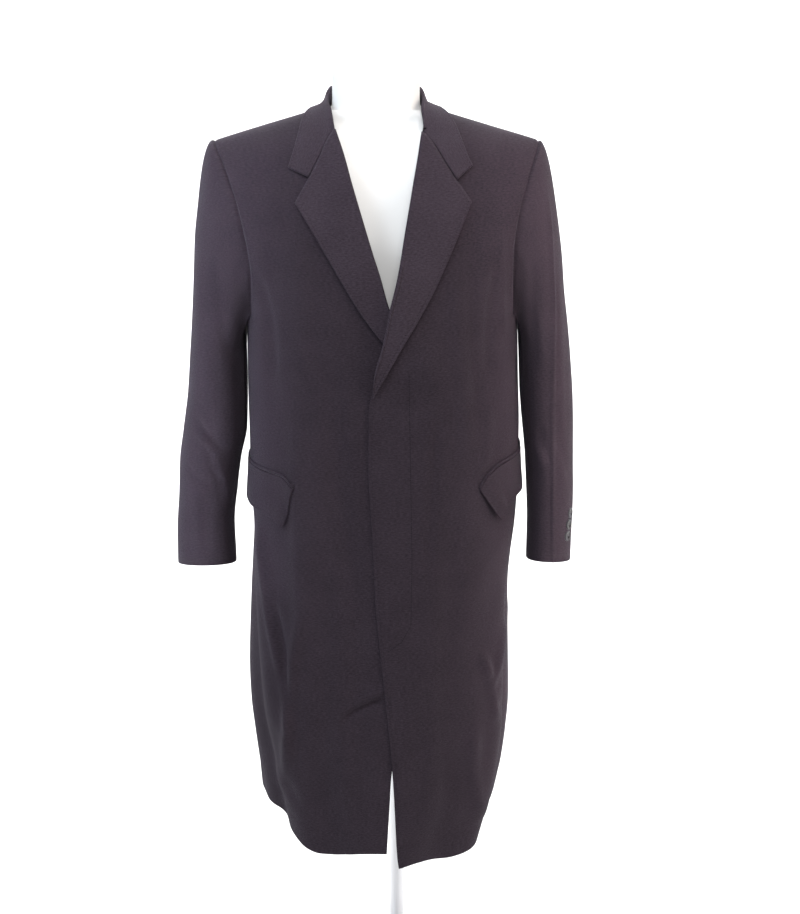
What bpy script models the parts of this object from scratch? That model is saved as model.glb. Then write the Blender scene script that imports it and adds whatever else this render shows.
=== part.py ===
"""Wool overcoat worn by a limbless dress form on a pole and a round base.

Metres, +Z up.  The coat's front faces -Y and the wearer's left side is +X.
The origin is the centre of the base's underside.

Every cloth piece is a wall.  Its outer face is laid out from the tables below,
its inner face lies one thickness inside it, and its rim closes the two.
"""

import math

import bpy
from mathutils import Vector
from mathutils.bvhtree import BVHTree

# ---------------------------------------------------------------- named sizes

CLOTH = 0.0022          # wall of melton cloth
SEAM = 0.00016          # each piece stops this far short of its seam
REST = 0.0005           # clearance of a piece that lies on another

ARMPIT_Z = 1.180        # the armhole's lowest level
NECK_Z = 1.4755         # neck point, at the side of the neck
SHOULDER_Z = 1.4260     # end of the shoulder seam
NECK_HALF = 0.070
NECK_X = -0.0285
SHOULDER_RIGHT_X = -0.264
SHOULDER_LEFT_X = 0.207
BACK_INSET = 0.008      # the back is narrower than the front at the armpits
RIDGE_Z = 1.5210        # where the back's slope would meet above the spine

SIDE_SEAM = 5.0         # degrees behind the side

BODY_ROWS = 20
RIDGE_CROWD = 1.7       # how the chest's rows crowd towards the shoulder seam
CHEST_ROWS = 8

# Level sections of the body.  Angles run 0 = wearer's left, 90 = back, 180 =
# wearer's right, 270 = front.
# height, right side x, left side x, front y, back y, squareness
SECTIONS = (
    (0.340, -0.2095, 0.1475, -0.1800, 0.1560, 1.95),
    (0.390, -0.2130, 0.1585, -0.1800, 0.1550, 2.00),
    (0.434, -0.2170, 0.1680, -0.1795, 0.1540, 2.08),
    (0.490, -0.2243, 0.1752, -0.1785, 0.1530, 2.15),
    (0.550, -0.2303, 0.1790, -0.1770, 0.1510, 2.25),
    (0.617, -0.2319, 0.1782, -0.1750, 0.1490, 2.30),
    (0.740, -0.2291, 0.1768, -0.1690, 0.1430, 2.30),
    (0.800, -0.2255, 0.1790, -0.1650, 0.1380, 2.32),
    (0.860, -0.2208, 0.1830, -0.1610, 0.1330, 2.35),
    (0.930, -0.2235, 0.1862, -0.1570, 0.1250, 2.40),
    (1.000, -0.2230, 0.1860, -0.1550, 0.1190, 2.45),
    (1.090, -0.2225, 0.1825, -0.1550, 0.1250, 2.50),
    (1.180, -0.2220, 0.1790, -0.1520, 0.1370, 2.50),
)

# Drape folds of the skirt, as ridges (+) and troughs (-) along the outward way.
# name, angle at hem, angle at top, top height, full height, depth, hem depth, width
FOLDS = (
    ("right ridge", 234, 202, 0.930, 0.720, 0.0060, 0.0050, 9.0),
    ("right trough", 210, 186, 0.900, 0.660, -0.0125, -0.0150, 9.5),
    ("right back ridge", 176, 170, 0.850, 0.560, 0.0060, 0.0090, 9.0),
    ("right back trough", 149, 150, 0.820, 0.520, -0.0090, -0.0180, 9.5),
    ("right back swell", 122, 128, 0.820, 0.500, 0.0060, 0.0130, 10.0),
    ("left back swell", 66, 60, 0.840, 0.520, 0.0060, 0.0120, 10.5),
    ("left back trough", 37, 35, 0.830, 0.520, -0.0100, -0.0190, 9.5),
    ("left back ridge", 10, 14, 0.850, 0.560, 0.0050, 0.0070, 9.0),
    ("left trough", 343, 352, 0.880, 0.640, -0.0120, -0.0100, 9.0),
    ("left ridge", 322, 338, 0.900, 0.680, 0.0055, 0.0130, 9.5),
    ("left front dip", 300, 311, 0.820, 0.620, -0.0030, -0.0050, 8.0),
    ("right front dip", 248, 238, 0.840, 0.640, -0.0030, -0.0050, 9.0),
)

# Hem height round the body: angle, height
HEM = (
    (0, 0.379),
    (45, 0.380),
    (90, 0.378),
    (135, 0.382),
    (180, 0.391),
    (203, 0.388),
    (214, 0.380),
    (225, 0.3715),
    (233, 0.362),
    (241, 0.3575),
    (247, 0.3585),
    (255, 0.364),
    (262, 0.3685),
    (268, 0.370),
    (272, 0.339),
    (282, 0.3428),
    (290, 0.3465),
    (300, 0.3440),
    (310, 0.3405),
    (322, 0.3455),
    (335, 0.3550),
    (350, 0.372),
    (360, 0.379),
)

# Front edges, from the hem up the edge, the roll line and the neck seam:
# height, x
LEFT_EDGE = (
    (0.340, 0.0040),
    (0.361, 0.0015),
    (0.493, -0.0050),
    (0.641, -0.0180),
    (0.766, -0.0300),
    (0.874, -0.0350),
    (0.974, -0.0400),
    (1.057, -0.0390),
    (1.090, -0.0331),
    (1.116, -0.0281),
    (1.143, -0.0197),
    (1.175, -0.0119),
    (1.207, -0.0056),
    (1.237, 0.0013),
    (1.271, 0.0083),
    (1.305, 0.0138),
    (1.338, 0.0193),
    (1.371, 0.0249),
    (1.403, 0.0305),
    (1.430, 0.0350),
    (1.452, 0.0390),
    (1.4755, 0.0415),
)
RIGHT_EDGE = (
    (0.340, -0.0160),
    (0.369, -0.0145),
    (0.457, -0.0098),
    (0.490, -0.0082),
    (0.560, 0.0020),
    (0.641, 0.0150),
    (0.766, 0.0300),
    (0.874, 0.0370),
    (0.974, 0.0410),
    (1.085, 0.0420),
    (1.125, 0.0280),
    (1.160, 0.0110),
    (1.1985, -0.0084),
    (1.246, -0.0222),
    (1.267, -0.0290),
    (1.320, -0.0455),
    (1.364, -0.0594),
    (1.412, -0.0740),
    (1.443, -0.0860),
    (1.4755, -0.0985),
)

# Armhole edge of the front and the back: height, x
ARMHOLE_RIGHT = (
    (1.180, -0.2110),
    (1.237, -0.2085),
    (1.273, -0.2120),
    (1.308, -0.2190),
    (1.343, -0.2280),
    (1.386, -0.2440),
    (1.4260, -0.2640),
)
ARMHOLE_LEFT = (
    (1.180, 0.1705),
    (1.237, 0.1690),
    (1.273, 0.1690),
    (1.308, 0.1730),
    (1.343, 0.1800),
    (1.386, 0.1925),
    (1.4260, 0.2070),
)

# Level sections of the sleeves.
# height, outer x, inner x, front y, back y, turn in degrees
SLEEVE_RIGHT = (
    (0.806, -0.3340, -0.2460, -0.0955, 0.0030, 0.0),
    (0.857, -0.3330, -0.2475, -0.0930, 0.0150, 0.0),
    (0.905, -0.3300, -0.2430, -0.0900, 0.0280, 0.0),
    (0.956, -0.3280, -0.2365, -0.0880, 0.0410, 0.0),
    (1.003, -0.3215, -0.2268, -0.0860, 0.0520, 0.0),
    (1.060, -0.3130, -0.2252, -0.0860, 0.0620, 0.0),
    (1.125, -0.3068, -0.2250, -0.0880, 0.0700, 0.0),
)
SLEEVE_LEFT = (
    (0.810, 0.2667, 0.2000, -0.0925, 0.0170, -88.0),
    (0.857, 0.2680, 0.2005, -0.0910, 0.0270, -82.0),
    (0.905, 0.2690, 0.1990, -0.0890, 0.0370, -68.0),
    (0.956, 0.2683, 0.1965, -0.0870, 0.0470, -50.0),
    (1.003, 0.2677, 0.1918, -0.0850, 0.0560, -31.0),
    (1.060, 0.2652, 0.1868, -0.0850, 0.0640, -14.0),
    (1.125, 0.2595, 0.1832, -0.0870, 0.0700, 0.0),
)
SLEEVE_SQUARENESS = 2.25
CUFF_SLANT = 0.20        # the cuff drops towards the back
CAP_RIGHT = -1.00       # reach of the sleeve head beyond the armhole
CAP_LEFT = 0.80
CAP_LEAN = 0.11         # how the arm spreads below the sleeve head
CAP_ROWS = 6
ARM_ROWS = 11

# Lapel outlines.  roll: lowest and highest level on the front's edge; edge: from
# the bottom up to the tip; top: from the roll's end over the notch to the tip.  x, height
LAPEL_RIGHT = {
    "roll": (1.1410, 1.4400),
    "edge": ((0.0040, 1.1330), (-0.0182, 1.1560), (-0.0473, 1.1940), (-0.0939, 1.2715), (-0.1390, 1.3450)),
    "top": (
        (-0.0840, 1.4400), (-0.0943, 1.4253), (-0.1022, 1.4100), (-0.1106, 1.3938), (-0.1196, 1.3778),
        (-0.1247, 1.3696), (-0.1296, 1.3614), (-0.1343, 1.3532), (-0.1390, 1.3450),
    ),
}
LAPEL_LEFT = {
    "roll": (1.0940, 1.4360),
    "edge": ((-0.0331, 1.0780), (0.0097, 1.1530), (0.0512, 1.2260), (0.0704, 1.2660), (0.1040, 1.3465)),
    "top": (
        (0.0362, 1.4360), (0.0485, 1.4248), (0.0587, 1.4104), (0.0703, 1.3927), (0.0829, 1.3744),
        (0.0889, 1.3673), (0.0942, 1.3600), (0.0991, 1.3532), (0.1040, 1.3465),
    ),
}
LAPEL_ROWS = 16
LAPEL_THICK = 0.0036
ROLL_HEIGHT = 0.0062

# Collar stations from the wearer's right front end round the back to the left.
# fold x y z, outer edge x y z, share of standing up: 0 lies flat, 1 has its stand
COLLAR = (
    ((-0.1207, -0.1140, 1.3787), (-0.1498, -0.0980, 1.3910), 0.00),
    ((-0.1098, -0.1000, 1.3970), (-0.1458, -0.0870, 1.4030), 0.00),
    ((-0.0990, -0.0900, 1.4185), (-0.1409, -0.0740, 1.4200), 0.00),
    ((-0.0843, -0.0715, 1.4440), (-0.1362, -0.0570, 1.4385), 0.12),
    ((-0.0922, -0.0425, 1.4680), (-0.1310, -0.0300, 1.4560), 0.50),
    ((-0.0993, -0.0130, 1.4800), (-0.1200, 0.0060, 1.4700), 0.90),
    ((-0.0997, 0.0130, 1.4865), (-0.1130, 0.0400, 1.4630), 1.00),
    ((-0.0935, 0.0380, 1.4990), (-0.1030, 0.0700, 1.4520), 1.00),
    ((-0.0780, 0.0590, 1.5020), (-0.0850, 0.0910, 1.4460), 1.00),
    ((-0.0560, 0.0730, 1.5040), (-0.0610, 0.1040, 1.4430), 1.00),
    ((-0.0300, 0.0780, 1.5045), (-0.0300, 0.1090, 1.4420), 1.00),
    ((-0.0040, 0.0730, 1.5040), (0.0030, 0.1040, 1.4430), 1.00),
    ((0.0180, 0.0590, 1.5010), (0.0270, 0.0910, 1.4460), 1.00),
    ((0.0335, 0.0380, 1.4980), (0.0430, 0.0700, 1.4520), 1.00),
    ((0.0397, 0.0130, 1.4855), (0.0520, 0.0400, 1.4630), 1.00),
    ((0.0395, -0.0130, 1.4795), (0.0600, 0.0060, 1.4700), 0.90),
    ((0.0367, -0.0425, 1.4655), (0.0781, -0.0320, 1.4550), 0.50),
    ((0.0362, -0.0715, 1.4405), (0.0879, -0.0570, 1.4370), 0.12),
    ((0.0545, -0.0930, 1.4185), (0.0945, -0.0740, 1.4200), 0.00),
    ((0.0690, -0.1020, 1.3960), (0.1009, -0.0870, 1.4040), 0.00),
    ((0.0836, -0.1150, 1.3752), (0.1065, -0.0980, 1.3940), 0.00),
)
COLLAR_THICK = 0.0036
SAG = -0.0010
FALL_STEPS = 5

# Pocket flaps, from the front end to the back end.
# share of the length, top angle, top height, bottom angle, bottom height
FLAP_RIGHT = (
    (0.00, 236.8, 0.9400, 229.6, 0.8805),
    (0.20, 227.0, 0.9535, 220.5, 0.8885),
    (0.50, 209.0, 0.9560, 206.0, 0.8935),
    (1.00, 180.0, 0.9570, 180.0, 0.8960),
)
FLAP_LEFT = (
    (0.00, 308.8, 0.9355, 320.6, 0.8855),
    (0.10, 314.2, 0.9530, 325.6, 0.8965),
    (0.30, 324.0, 0.9660, 334.5, 0.9075),
    (0.55, 338.0, 0.9700, 345.0, 0.9105),
    (1.00, 362.0, 0.9720, 362.0, 0.9070),
)
FLAP_THICK = 0.0032
FLAP_FLARE = 0.0050     # how far the free edge stands off
JET_HEIGHT = 0.0055
JET_THICK = 0.0026

# Cuff buttons: heights, size, angle round the sleeve just before the hind seam.
BUTTON_HEIGHTS = (0.8465, 0.8635, 0.8805)
BUTTON_RADIUS = 0.0077
BUTTON_THICK = 0.0032
BUTTON_ANGLE = 214.0

# Level sections of the dress form: height, half width, front y, back y
FORM = (
    (0.8000, 0.1360, -0.0840, 0.0960),
    (0.8035, 0.1460, -0.0930, 0.1040),
    (0.8120, 0.1530, -0.0990, 0.1100),
    (0.8600, 0.1620, -0.1060, 0.1170),
    (0.9200, 0.1600, -0.1040, 0.1120),
    (0.9900, 0.1490, -0.0990, 0.0990),
    (1.0500, 0.1450, -0.1000, 0.0940),
    (1.1200, 0.1540, -0.1080, 0.1010),
    (1.2000, 0.1680, -0.1180, 0.1100),
    (1.2700, 0.1780, -0.1170, 0.1150),
    (1.3300, 0.1860, -0.1060, 0.1120),
    (1.3800, 0.1910, -0.0900, 0.1020),
    (1.4090, 0.1920, -0.0740, 0.0880),
    (1.4290, 0.1880, -0.0600, 0.0730),
    (1.4370, 0.1800, -0.0500, 0.0620),
    (1.4420, 0.1640, -0.0410, 0.0520),
    (1.4500, 0.1345, -0.0380, 0.0490),
    (1.4575, 0.1080, -0.0380, 0.0490),
    (1.4640, 0.0830, -0.0420, 0.0530),
    (1.4690, 0.0695, -0.0430, 0.0550),
    (1.4760, 0.0642, -0.0450, 0.0560),
    (1.4850, 0.0636, -0.0465, 0.0560),
    (1.4950, 0.0635, -0.0470, 0.0560),
    (1.5100, 0.0635, -0.0490, 0.0550),
)
FORM_X = -0.0292
FORM_SIDES = 36
NECK_TOP = (1.5280, 1.5550)     # height of the neck's cap at the front and back
POLE_RADIUS = 0.0120
BASE_RADIUS = 0.1750
BASE_THICK = 0.0120
SOCKET_RADIUS = 0.0230
SOCKET_TOP = 0.0480

# ------------------------------------------------------------------ materials

COLOURS = {
    "wool": ((0.012, 0.015, 0.028), 0.92, 0.0),
    "horn": ((0.010, 0.010, 0.013), 0.35, 0.0),
    "form": ((0.780, 0.760, 0.720), 0.60, 0.0),
    "steel": ((0.620, 0.620, 0.630), 0.32, 0.9),
}


def material(name):
    """Principled material of one of the four stuffs."""
    found = bpy.data.materials.get(name)
    if found:
        return found
    colour, rough, metal = COLOURS[name]
    made = bpy.data.materials.new(name)
    made.use_nodes = True
    shader = made.node_tree.nodes["Principled BSDF"]
    shader.inputs["Base Color"].default_value = (*colour, 1.0)
    shader.inputs["Roughness"].default_value = rough
    shader.inputs["Metallic"].default_value = metal
    made.diffuse_color = (*colour, 1.0)
    return made


# ----------------------------------------------------------------- small maths


def table(rows, key, column=1):
    """Value of a column by a curve that never overshoots its rows."""
    if key <= rows[0][0]:
        return rows[0][column]
    if key >= rows[-1][0]:
        return rows[-1][column]
    i = 0
    while rows[i + 1][0] < key:
        i += 1

    def slope(k):
        return (rows[k + 1][column] - rows[k][column]) / (rows[k + 1][0] - rows[k][0])

    def knot(k):
        if k == 0:
            return slope(0)
        if k == len(rows) - 1:
            return slope(k - 1)
        a, b = slope(k - 1), slope(k)
        return 0.0 if a * b <= 0.0 else 2.0 * a * b / (a + b)

    step = rows[i + 1][0] - rows[i][0]
    t = (key - rows[i][0]) / step
    m0, m1 = knot(i) * step, knot(i + 1) * step
    p0, p1 = rows[i][column], rows[i + 1][column]
    t2, t3 = t * t, t * t * t
    return (
        (2 * t3 - 3 * t2 + 1) * p0
        + (t3 - 2 * t2 + t) * m0
        + (3 * t2 - 2 * t3) * p1
        + (t3 - t2) * m1
    )


def ease(t):
    """Smooth step from 0 to 1."""
    t = min(max(t, 0.0), 1.0)
    return t * t * (3.0 - 2.0 * t)


def power(value, exponent):
    """Signed power."""
    return math.copysign(abs(value) ** exponent, value)


def along(points, t):
    """Point at share t of an open path of points with even parameters."""
    last = len(points) - 1
    rows = [(i / last, *p) for i, p in enumerate(points)]
    return tuple(table(rows, t, c + 1) for c in range(len(points[0])))


# ------------------------------------------------------------ the body's shape


def fold(angle, z):
    """How far the drape moves the cloth out at an angle and height."""
    total = 0.0
    for _, low, high, top, full, depth, hem_depth, width in FOLDS:
        if z >= top:
            continue
        share = (top - z) / (top - 0.37)
        centre = high + (low - high) * min(share, 1.05)
        away = (angle - centre + 180.0) % 360.0 - 180.0
        if abs(away) > 3.0 * width:
            continue
        if z > full:
            size = depth * ease((top - z) / (top - full))
        else:
            size = depth + (hem_depth - depth) * ease((full - z) / (full - 0.37))
        total += size * math.exp(-((away / width) ** 2))
    return total


def section(z):
    """Middle x, half width, front depth, back depth and squareness at a height."""
    right = table(SECTIONS, z, 1)
    left = table(SECTIONS, z, 2)
    return (
        (right + left) / 2,
        (left - right) / 2,
        -table(SECTIONS, z, 3),
        table(SECTIONS, z, 4),
        table(SECTIONS, z, 5),
    )


def skirt(angle, z):
    """Outer point of the body below the armpits."""
    cx, hx, front, back, n = section(z)
    turn = math.radians(angle)
    c, s = math.cos(turn), math.sin(turn)
    depth = back if s > 0 else front
    x = cx + hx * power(c, 2 / n)
    y = depth * power(s, 2 / n)
    away = Vector((c / hx, s / depth, 0.0)).normalized()
    return Vector((x, y, z)) + away * fold(angle, z)


def angle_at(x, z, front=True):
    """Angle whose skirt point has this x, on the front or the back."""
    cx, hx, _, _, n = section(z)
    c = power((x - cx) / hx, n / 2)
    turn = math.degrees(math.acos(min(max(c, -1.0), 1.0)))
    return 360.0 - turn if front else turn


def shoulder_line(x, front=True):
    """Height of the shoulder's ridge at x, and of its virtual run over the neck."""
    away = abs(x - NECK_X)
    if away < NECK_HALF:
        share = 1 - away / NECK_HALF if front else (1 - (away / NECK_HALF) ** 2) ** 0.8
        return NECK_Z + (RIDGE_Z - NECK_Z) * share
    end = SHOULDER_LEFT_X - NECK_X if x > NECK_X else NECK_X - SHOULDER_RIGHT_X
    return NECK_Z + (SHOULDER_Z - NECK_Z) * (away - NECK_HALF) / (end - NECK_HALF)


def chest(x, h, front=True):
    """Outer point above the armpits; h runs from 0 there to 1 at the ridge."""
    cx, hx, front_depth, back_depth, n = section(ARMPIT_Z)
    cx += (-0.0285 - cx) * h
    hx += (0.2640 - hx) * h ** 1.3
    depth = front_depth * (1 - 0.05 * h) if front else back_depth
    round_x = max(1.0 - (abs(x - cx) / hx) ** n, 0.0) ** (1 / n)
    up = 2.5 if front else 2.8
    round_z = max(1.0 - h ** up, 0.0) ** 0.5
    y = depth * round_x * round_z
    z = ARMPIT_Z + h * (shoulder_line(x, front) - ARMPIT_Z)
    return Vector((x, 0.006 * h + (-y if front else y), z))


def chest_share(row):
    """h of a chest row, counted up from the armpit level."""
    return 1.0 - (1.0 - row / CHEST_ROWS) ** RIDGE_CROWD


# --------------------------------------------------------------- cloth as walls


class Cloth:
    """Outer faces of one piece, kept as quads of named points."""

    def __init__(self, name):
        self.name = name
        self.points = []
        self.index = {}
        self.quads = []

    def vertex(self, point):
        key = (round(point.x, 6), round(point.y, 6), round(point.z, 6))
        if key not in self.index:
            self.index[key] = len(self.points)
            self.points.append(point.copy())
        return self.index[key]

    def grid(self, rows, flip=False):
        """Add faces between the rows; None marks a place without cloth."""
        for upper, lower in zip(rows, rows[1:]):
            for j in range(len(upper) - 1):
                corners = (upper[j], upper[j + 1], lower[j + 1], lower[j])
                if any(p is None for p in corners):
                    continue
                quad = [self.vertex(p) for p in corners]
                if len(set(quad)) < 3:
                    continue
                quad = list(dict.fromkeys(quad))
                self.quads.append(quad[::-1] if flip else quad)

    def face_normal(self, quad):
        p = [self.points[i] for i in quad]
        if len(p) == 4:
            return (p[2] - p[0]).cross(p[3] - p[1])
        return (p[1] - p[0]).cross(p[2] - p[0])

    def normals(self):
        total = [Vector() for _ in self.points]
        for quad in self.quads:
            n = self.face_normal(quad)
            for i in quad:
                total[i] += n
        return total

    def tree(self):
        return BVHTree.FromPolygons(self.points, self.quads)


def link(name, points, faces, stuff):
    """Make a mesh object of the given faces."""
    mesh = bpy.data.meshes.new(name)
    mesh.from_pydata([tuple(p) for p in points], [], faces)
    mesh.validate()
    mesh.materials.append(material(stuff))
    thing = bpy.data.objects.new(name, mesh)
    bpy.context.scene.collection.objects.link(thing)
    return thing


def wall(cloth, shared, thickness=CLOTH, seam=SEAM):
    """Close a piece into a wall, stopping short of its edges."""
    own = cloth.normals()
    count = len(cloth.points)
    edges = {}
    for quad in cloth.quads:
        for a, b in zip(quad, quad[1:] + quad[:1]):
            edges[(a, b)] = quad
    rim = [(a, b) for (a, b) in edges if (b, a) not in edges]
    pull = {}
    for a, b in rim:
        quad = edges[(a, b)]
        middle = sum((cloth.points[i] for i in quad), Vector()) / len(quad)
        way = (cloth.points[b] - cloth.points[a]).normalized()
        inward = middle - cloth.points[a]
        inward = (inward - way * inward.dot(way)).normalized()
        for i in (a, b):
            pull.setdefault(i, []).append(inward)
    outer, inner = [], []
    for i, point in enumerate(cloth.points):
        key = (round(point.x, 6), round(point.y, 6), round(point.z, 6))
        mine = own[i].normalized()
        common = shared.get(key, own[i])
        common = common.normalized() if common.length > 1e-12 else mine
        weight = min(max((mine.dot(common) - 0.55) / 0.25, 0.0), 1.0)
        normal = (mine * (1 - weight) + common * weight).normalized()
        moved = point.copy()
        for inward in pull.get(i, []):
            moved += inward * seam * (3.0 if abs(point.z - ARMPIT_Z) < 1e-6 else 1.0)
        outer.append(moved)
        inner.append(moved - normal * thickness)
    faces = [list(q) for q in cloth.quads]
    faces += [[i + count for i in q[::-1]] for q in cloth.quads]
    faces += [[b, a, a + count, b + count] for a, b in rim]
    return link(cloth.name, outer + inner, faces, "wool")


# ------------------------------------------------------------------- the fronts


FRONT_COLUMNS = 12      # from the front edge to the armhole
SIDE_COLUMNS = 4        # under the armhole to the side seam
BACK_COLUMNS = 8        # from the back seam to the armhole
BACK_SIDE_COLUMNS = 3
NECK_COLUMNS = 3        # of the back's, that end on its neck seam


def lift(x, z, left):
    """How far the left front lies out over the right one and its lapel."""
    if not left:
        return 0.0
    under = table(RIGHT_EDGE, z)
    lap = ease((z - 0.43) / 0.05) * ease((1.310 - z) / 0.080) * ease((under + 0.050 - x) / 0.044)
    near = ease((z - 1.060) / 0.070) * ease((1.310 - z) / 0.080) * ease((under + 0.088 - x) / 0.080)
    return 0.0034 * lap + 0.0086 * near


HEM_RIGHT = 268.0       # last angle of the right front's hem
HEM_LEFT = 272.0        # first angle of the left front's hem


def hem(angle):
    return table(HEM, angle % 360.0)


def front_grid(left):
    """Rows of points of a front, top row first."""
    edge = LEFT_EDGE if left else RIGHT_EDGE
    armhole = ARMHOLE_LEFT if left else ARMHOLE_RIGHT
    arm_angle = angle_at(armhole[0][1], ARMPIT_Z)
    seam_angle = 360.0 + SIDE_SEAM if left else 180.0 - SIDE_SEAM
    shares = [i / FRONT_COLUMNS for i in range(FRONT_COLUMNS + 1)]
    edge0 = table(edge, ARMPIT_Z)
    start = angle_at(edge0, ARMPIT_Z)
    level = [start + (arm_angle - start) * s for s in shares]
    x_level = [skirt(a, ARMPIT_Z).x for a in level]
    x_share = [(x - x_level[0]) / (x_level[-1] - x_level[0]) for x in x_level]
    rows = []
    for i in range(CHEST_ROWS, 0, -1):
        h = chest_share(i)
        inner = edge_at(edge, h)
        outer = edge_at(armhole, h)
        line = []
        for s in x_share:
            x = inner + (outer - inner) * s
            point = chest(x, h)
            point.y -= lift(x, point.z, left)
            line.append(point)
        rows.append(line + [None] * SIDE_COLUMNS)
    for i in range(BODY_ROWS + 1):
        share = i / BODY_ROWS
        line = []
        z = ARMPIT_Z + (hem(HEM_LEFT if left else HEM_RIGHT) - ARMPIT_Z) * share
        first = angle_at(table(edge, z), z)
        for j in range(FRONT_COLUMNS + SIDE_COLUMNS + 1):
            if j <= FRONT_COLUMNS:
                angle = first + (arm_angle - first) * j / FRONT_COLUMNS
            else:
                k = (j - FRONT_COLUMNS) / SIDE_COLUMNS
                angle = arm_angle + (seam_angle - arm_angle) * k
            low = hem(max(angle, HEM_LEFT) if left else min(angle, HEM_RIGHT))
            z = ARMPIT_Z + (low - ARMPIT_Z) * share
            if j == 0:
                angle = angle_at(table(edge, z), z)
            point = skirt(angle, z)
            point.y -= lift(point.x, z, left)
            line.append(point)
        rows.append(line)
    return rows


def edge_at(edge, h):
    """x of an edge table at share h of the height above the armpits."""
    z = ARMPIT_Z + h * (NECK_Z - ARMPIT_Z)
    for _ in range(40):
        x = table(edge, z)
        z += 0.7 * (ARMPIT_Z + h * (shoulder_line(x) - ARMPIT_Z) - z)
    return table(edge, z)


def back_grid(left):
    """Rows of points of a back, top row first, from the back seam outwards."""
    armhole = ARMHOLE_LEFT if left else ARMHOLE_RIGHT
    inset = -BACK_INSET if left else BACK_INSET
    arm_angle = angle_at(armhole[0][1] + inset, ARMPIT_Z, front=False)
    seam_angle = SIDE_SEAM if left else 180.0 - SIDE_SEAM
    centre0 = angle_at(NECK_X, ARMPIT_Z, front=False)
    level = [centre0 + (arm_angle - centre0) * j / BACK_COLUMNS for j in range(BACK_COLUMNS + 1)]
    x_level = [skirt(a, ARMPIT_Z).x for a in level]
    x_share = [(x - x_level[0]) / (x_level[-1] - x_level[0]) for x in x_level]
    rows = []
    for i in range(CHEST_ROWS, 0, -1):
        h = chest_share(i)
        outer = edge_at(armhole, h) + inset * (1 - h)
        side = NECK_HALF if left else -NECK_HALF
        line = []
        for j, s in enumerate(x_share):
            if j <= NECK_COLUMNS:
                high = side * j / NECK_COLUMNS
            else:
                k = (j - NECK_COLUMNS) / (BACK_COLUMNS - NECK_COLUMNS)
                high = side + (outer - NECK_X - side) * k
            x = NECK_X + (outer - NECK_X) * s * (1 - h * h) + high * h * h
            ridge = shoulder_line(x, front=False)
            reach = (min(NECK_Z + 0.002, ridge) - ARMPIT_Z) / (ridge - ARMPIT_Z)
            line.append(chest(x, h * reach, front=False))
        rows.append(line + [None] * BACK_SIDE_COLUMNS)
    for i in range(BODY_ROWS + 1):
        share = i / BODY_ROWS
        line = []
        for j in range(BACK_COLUMNS + BACK_SIDE_COLUMNS + 1):
            if j <= BACK_COLUMNS:
                angle = centre0 + (arm_angle - centre0) * j / BACK_COLUMNS
            else:
                k = (j - BACK_COLUMNS) / BACK_SIDE_COLUMNS
                angle = arm_angle + (seam_angle - arm_angle) * k
            z = ARMPIT_Z + (hem(angle) - ARMPIT_Z) * share
            line.append(skirt(angle, z))
        rows.append(line)
    return rows


# ------------------------------------------------------------------ the sleeves


def armhole_ring(front, back):
    """Points round an armhole: under the arm, up the front, down the back."""
    f_edge, b_edge = FRONT_COLUMNS, BACK_COLUMNS
    ring = [front[CHEST_ROWS][j] for j in range(FRONT_COLUMNS + SIDE_COLUMNS, f_edge, -1)]
    ring += [front[i][f_edge] for i in range(CHEST_ROWS, -1, -1)]
    ring += [back[i][b_edge] for i in range(1, CHEST_ROWS + 1)]
    ring += [back[CHEST_ROWS][j] for j in range(b_edge + 1, BACK_COLUMNS + BACK_SIDE_COLUMNS)]
    return ring


def sleeve_point(sleeve, degrees, z):
    """Outer point of a sleeve; 0 faces the body, 90 the front, 180 outwards."""
    outer = table(sleeve, z, 1)
    inner = table(sleeve, z, 2)
    front = table(sleeve, z, 3)
    back = table(sleeve, z, 4)
    turn = math.radians(degrees + table(sleeve, z, 5))
    cx, cy = (outer + inner) / 2, (front + back) / 2
    x = cx + (inner - outer) / 2 * power(math.cos(turn), 2 / SLEEVE_SQUARENESS)
    y = cy - (back - front) / 2 * power(math.sin(turn), 2 / SLEEVE_SQUARENESS)
    return Vector((x, y, z))


def ring_degrees(ring):
    """Angle of each armhole point, by the way along the ring, shoulder at 180."""
    count = len(ring)
    shoulder = max(range(count), key=lambda i: ring[i].z)
    reach = [0.0]
    for i in range(count):
        reach.append(reach[-1] + (ring[(i + 1) % count] - ring[i]).length)
    half, whole = reach[shoulder], reach[count]
    under = -14.0
    result = []
    for i in range(count):
        if i <= shoulder:
            result.append(under + (180.0 - under) * reach[i] / half)
        else:
            result.append(180.0 + (180.0 + under) * (reach[i] - half) / (whole - half))
    return result


def sleeve_rows(ring, sleeve, out):
    """Rings of a sleeve from the armhole to the cuff."""
    degrees = ring_degrees(ring)
    top_z, low_z = sleeve[-1][0], sleeve[0][0]
    rows = [list(ring)]
    for k in range(1, CAP_ROWS + 1):
        t = k / CAP_ROWS
        line = []
        for start, angle in zip(ring, degrees):
            end = sleeve_point(sleeve, angle, top_z)
            high = ease((start.z - 1.20) / 0.19)
            go = Vector((out * (0.020 + 0.066 * high), 0.0, 0.028 * high))
            fall = 0.8 * (start.z - top_z)
            drop = Vector((math.copysign(CAP_LEAN, out) * fall, 0.0, -fall))
            t2, t3 = t * t, t * t * t
            point = start * (2 * t3 - 3 * t2 + 1) + end * (3 * t2 - 2 * t3)
            point += go * (t3 - 2 * t2 + t) + drop * (t3 - t2)
            line.append(point)
        rows.append(line)
    for k in range(1, ARM_ROWS + 1):
        line = []
        for angle in degrees:
            low = low_z - CUFF_SLANT * (sleeve_point(sleeve, angle, low_z).y - sleeve[0][3])
            line.append(sleeve_point(sleeve, angle, top_z + (low - top_z) * k / ARM_ROWS))
        rows.append(line)
    return rows, degrees


FRONT_SEAM = 2          # ring point where top and under sleeve meet at the front
HIND_SEAM = 17          # and at the back


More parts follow.
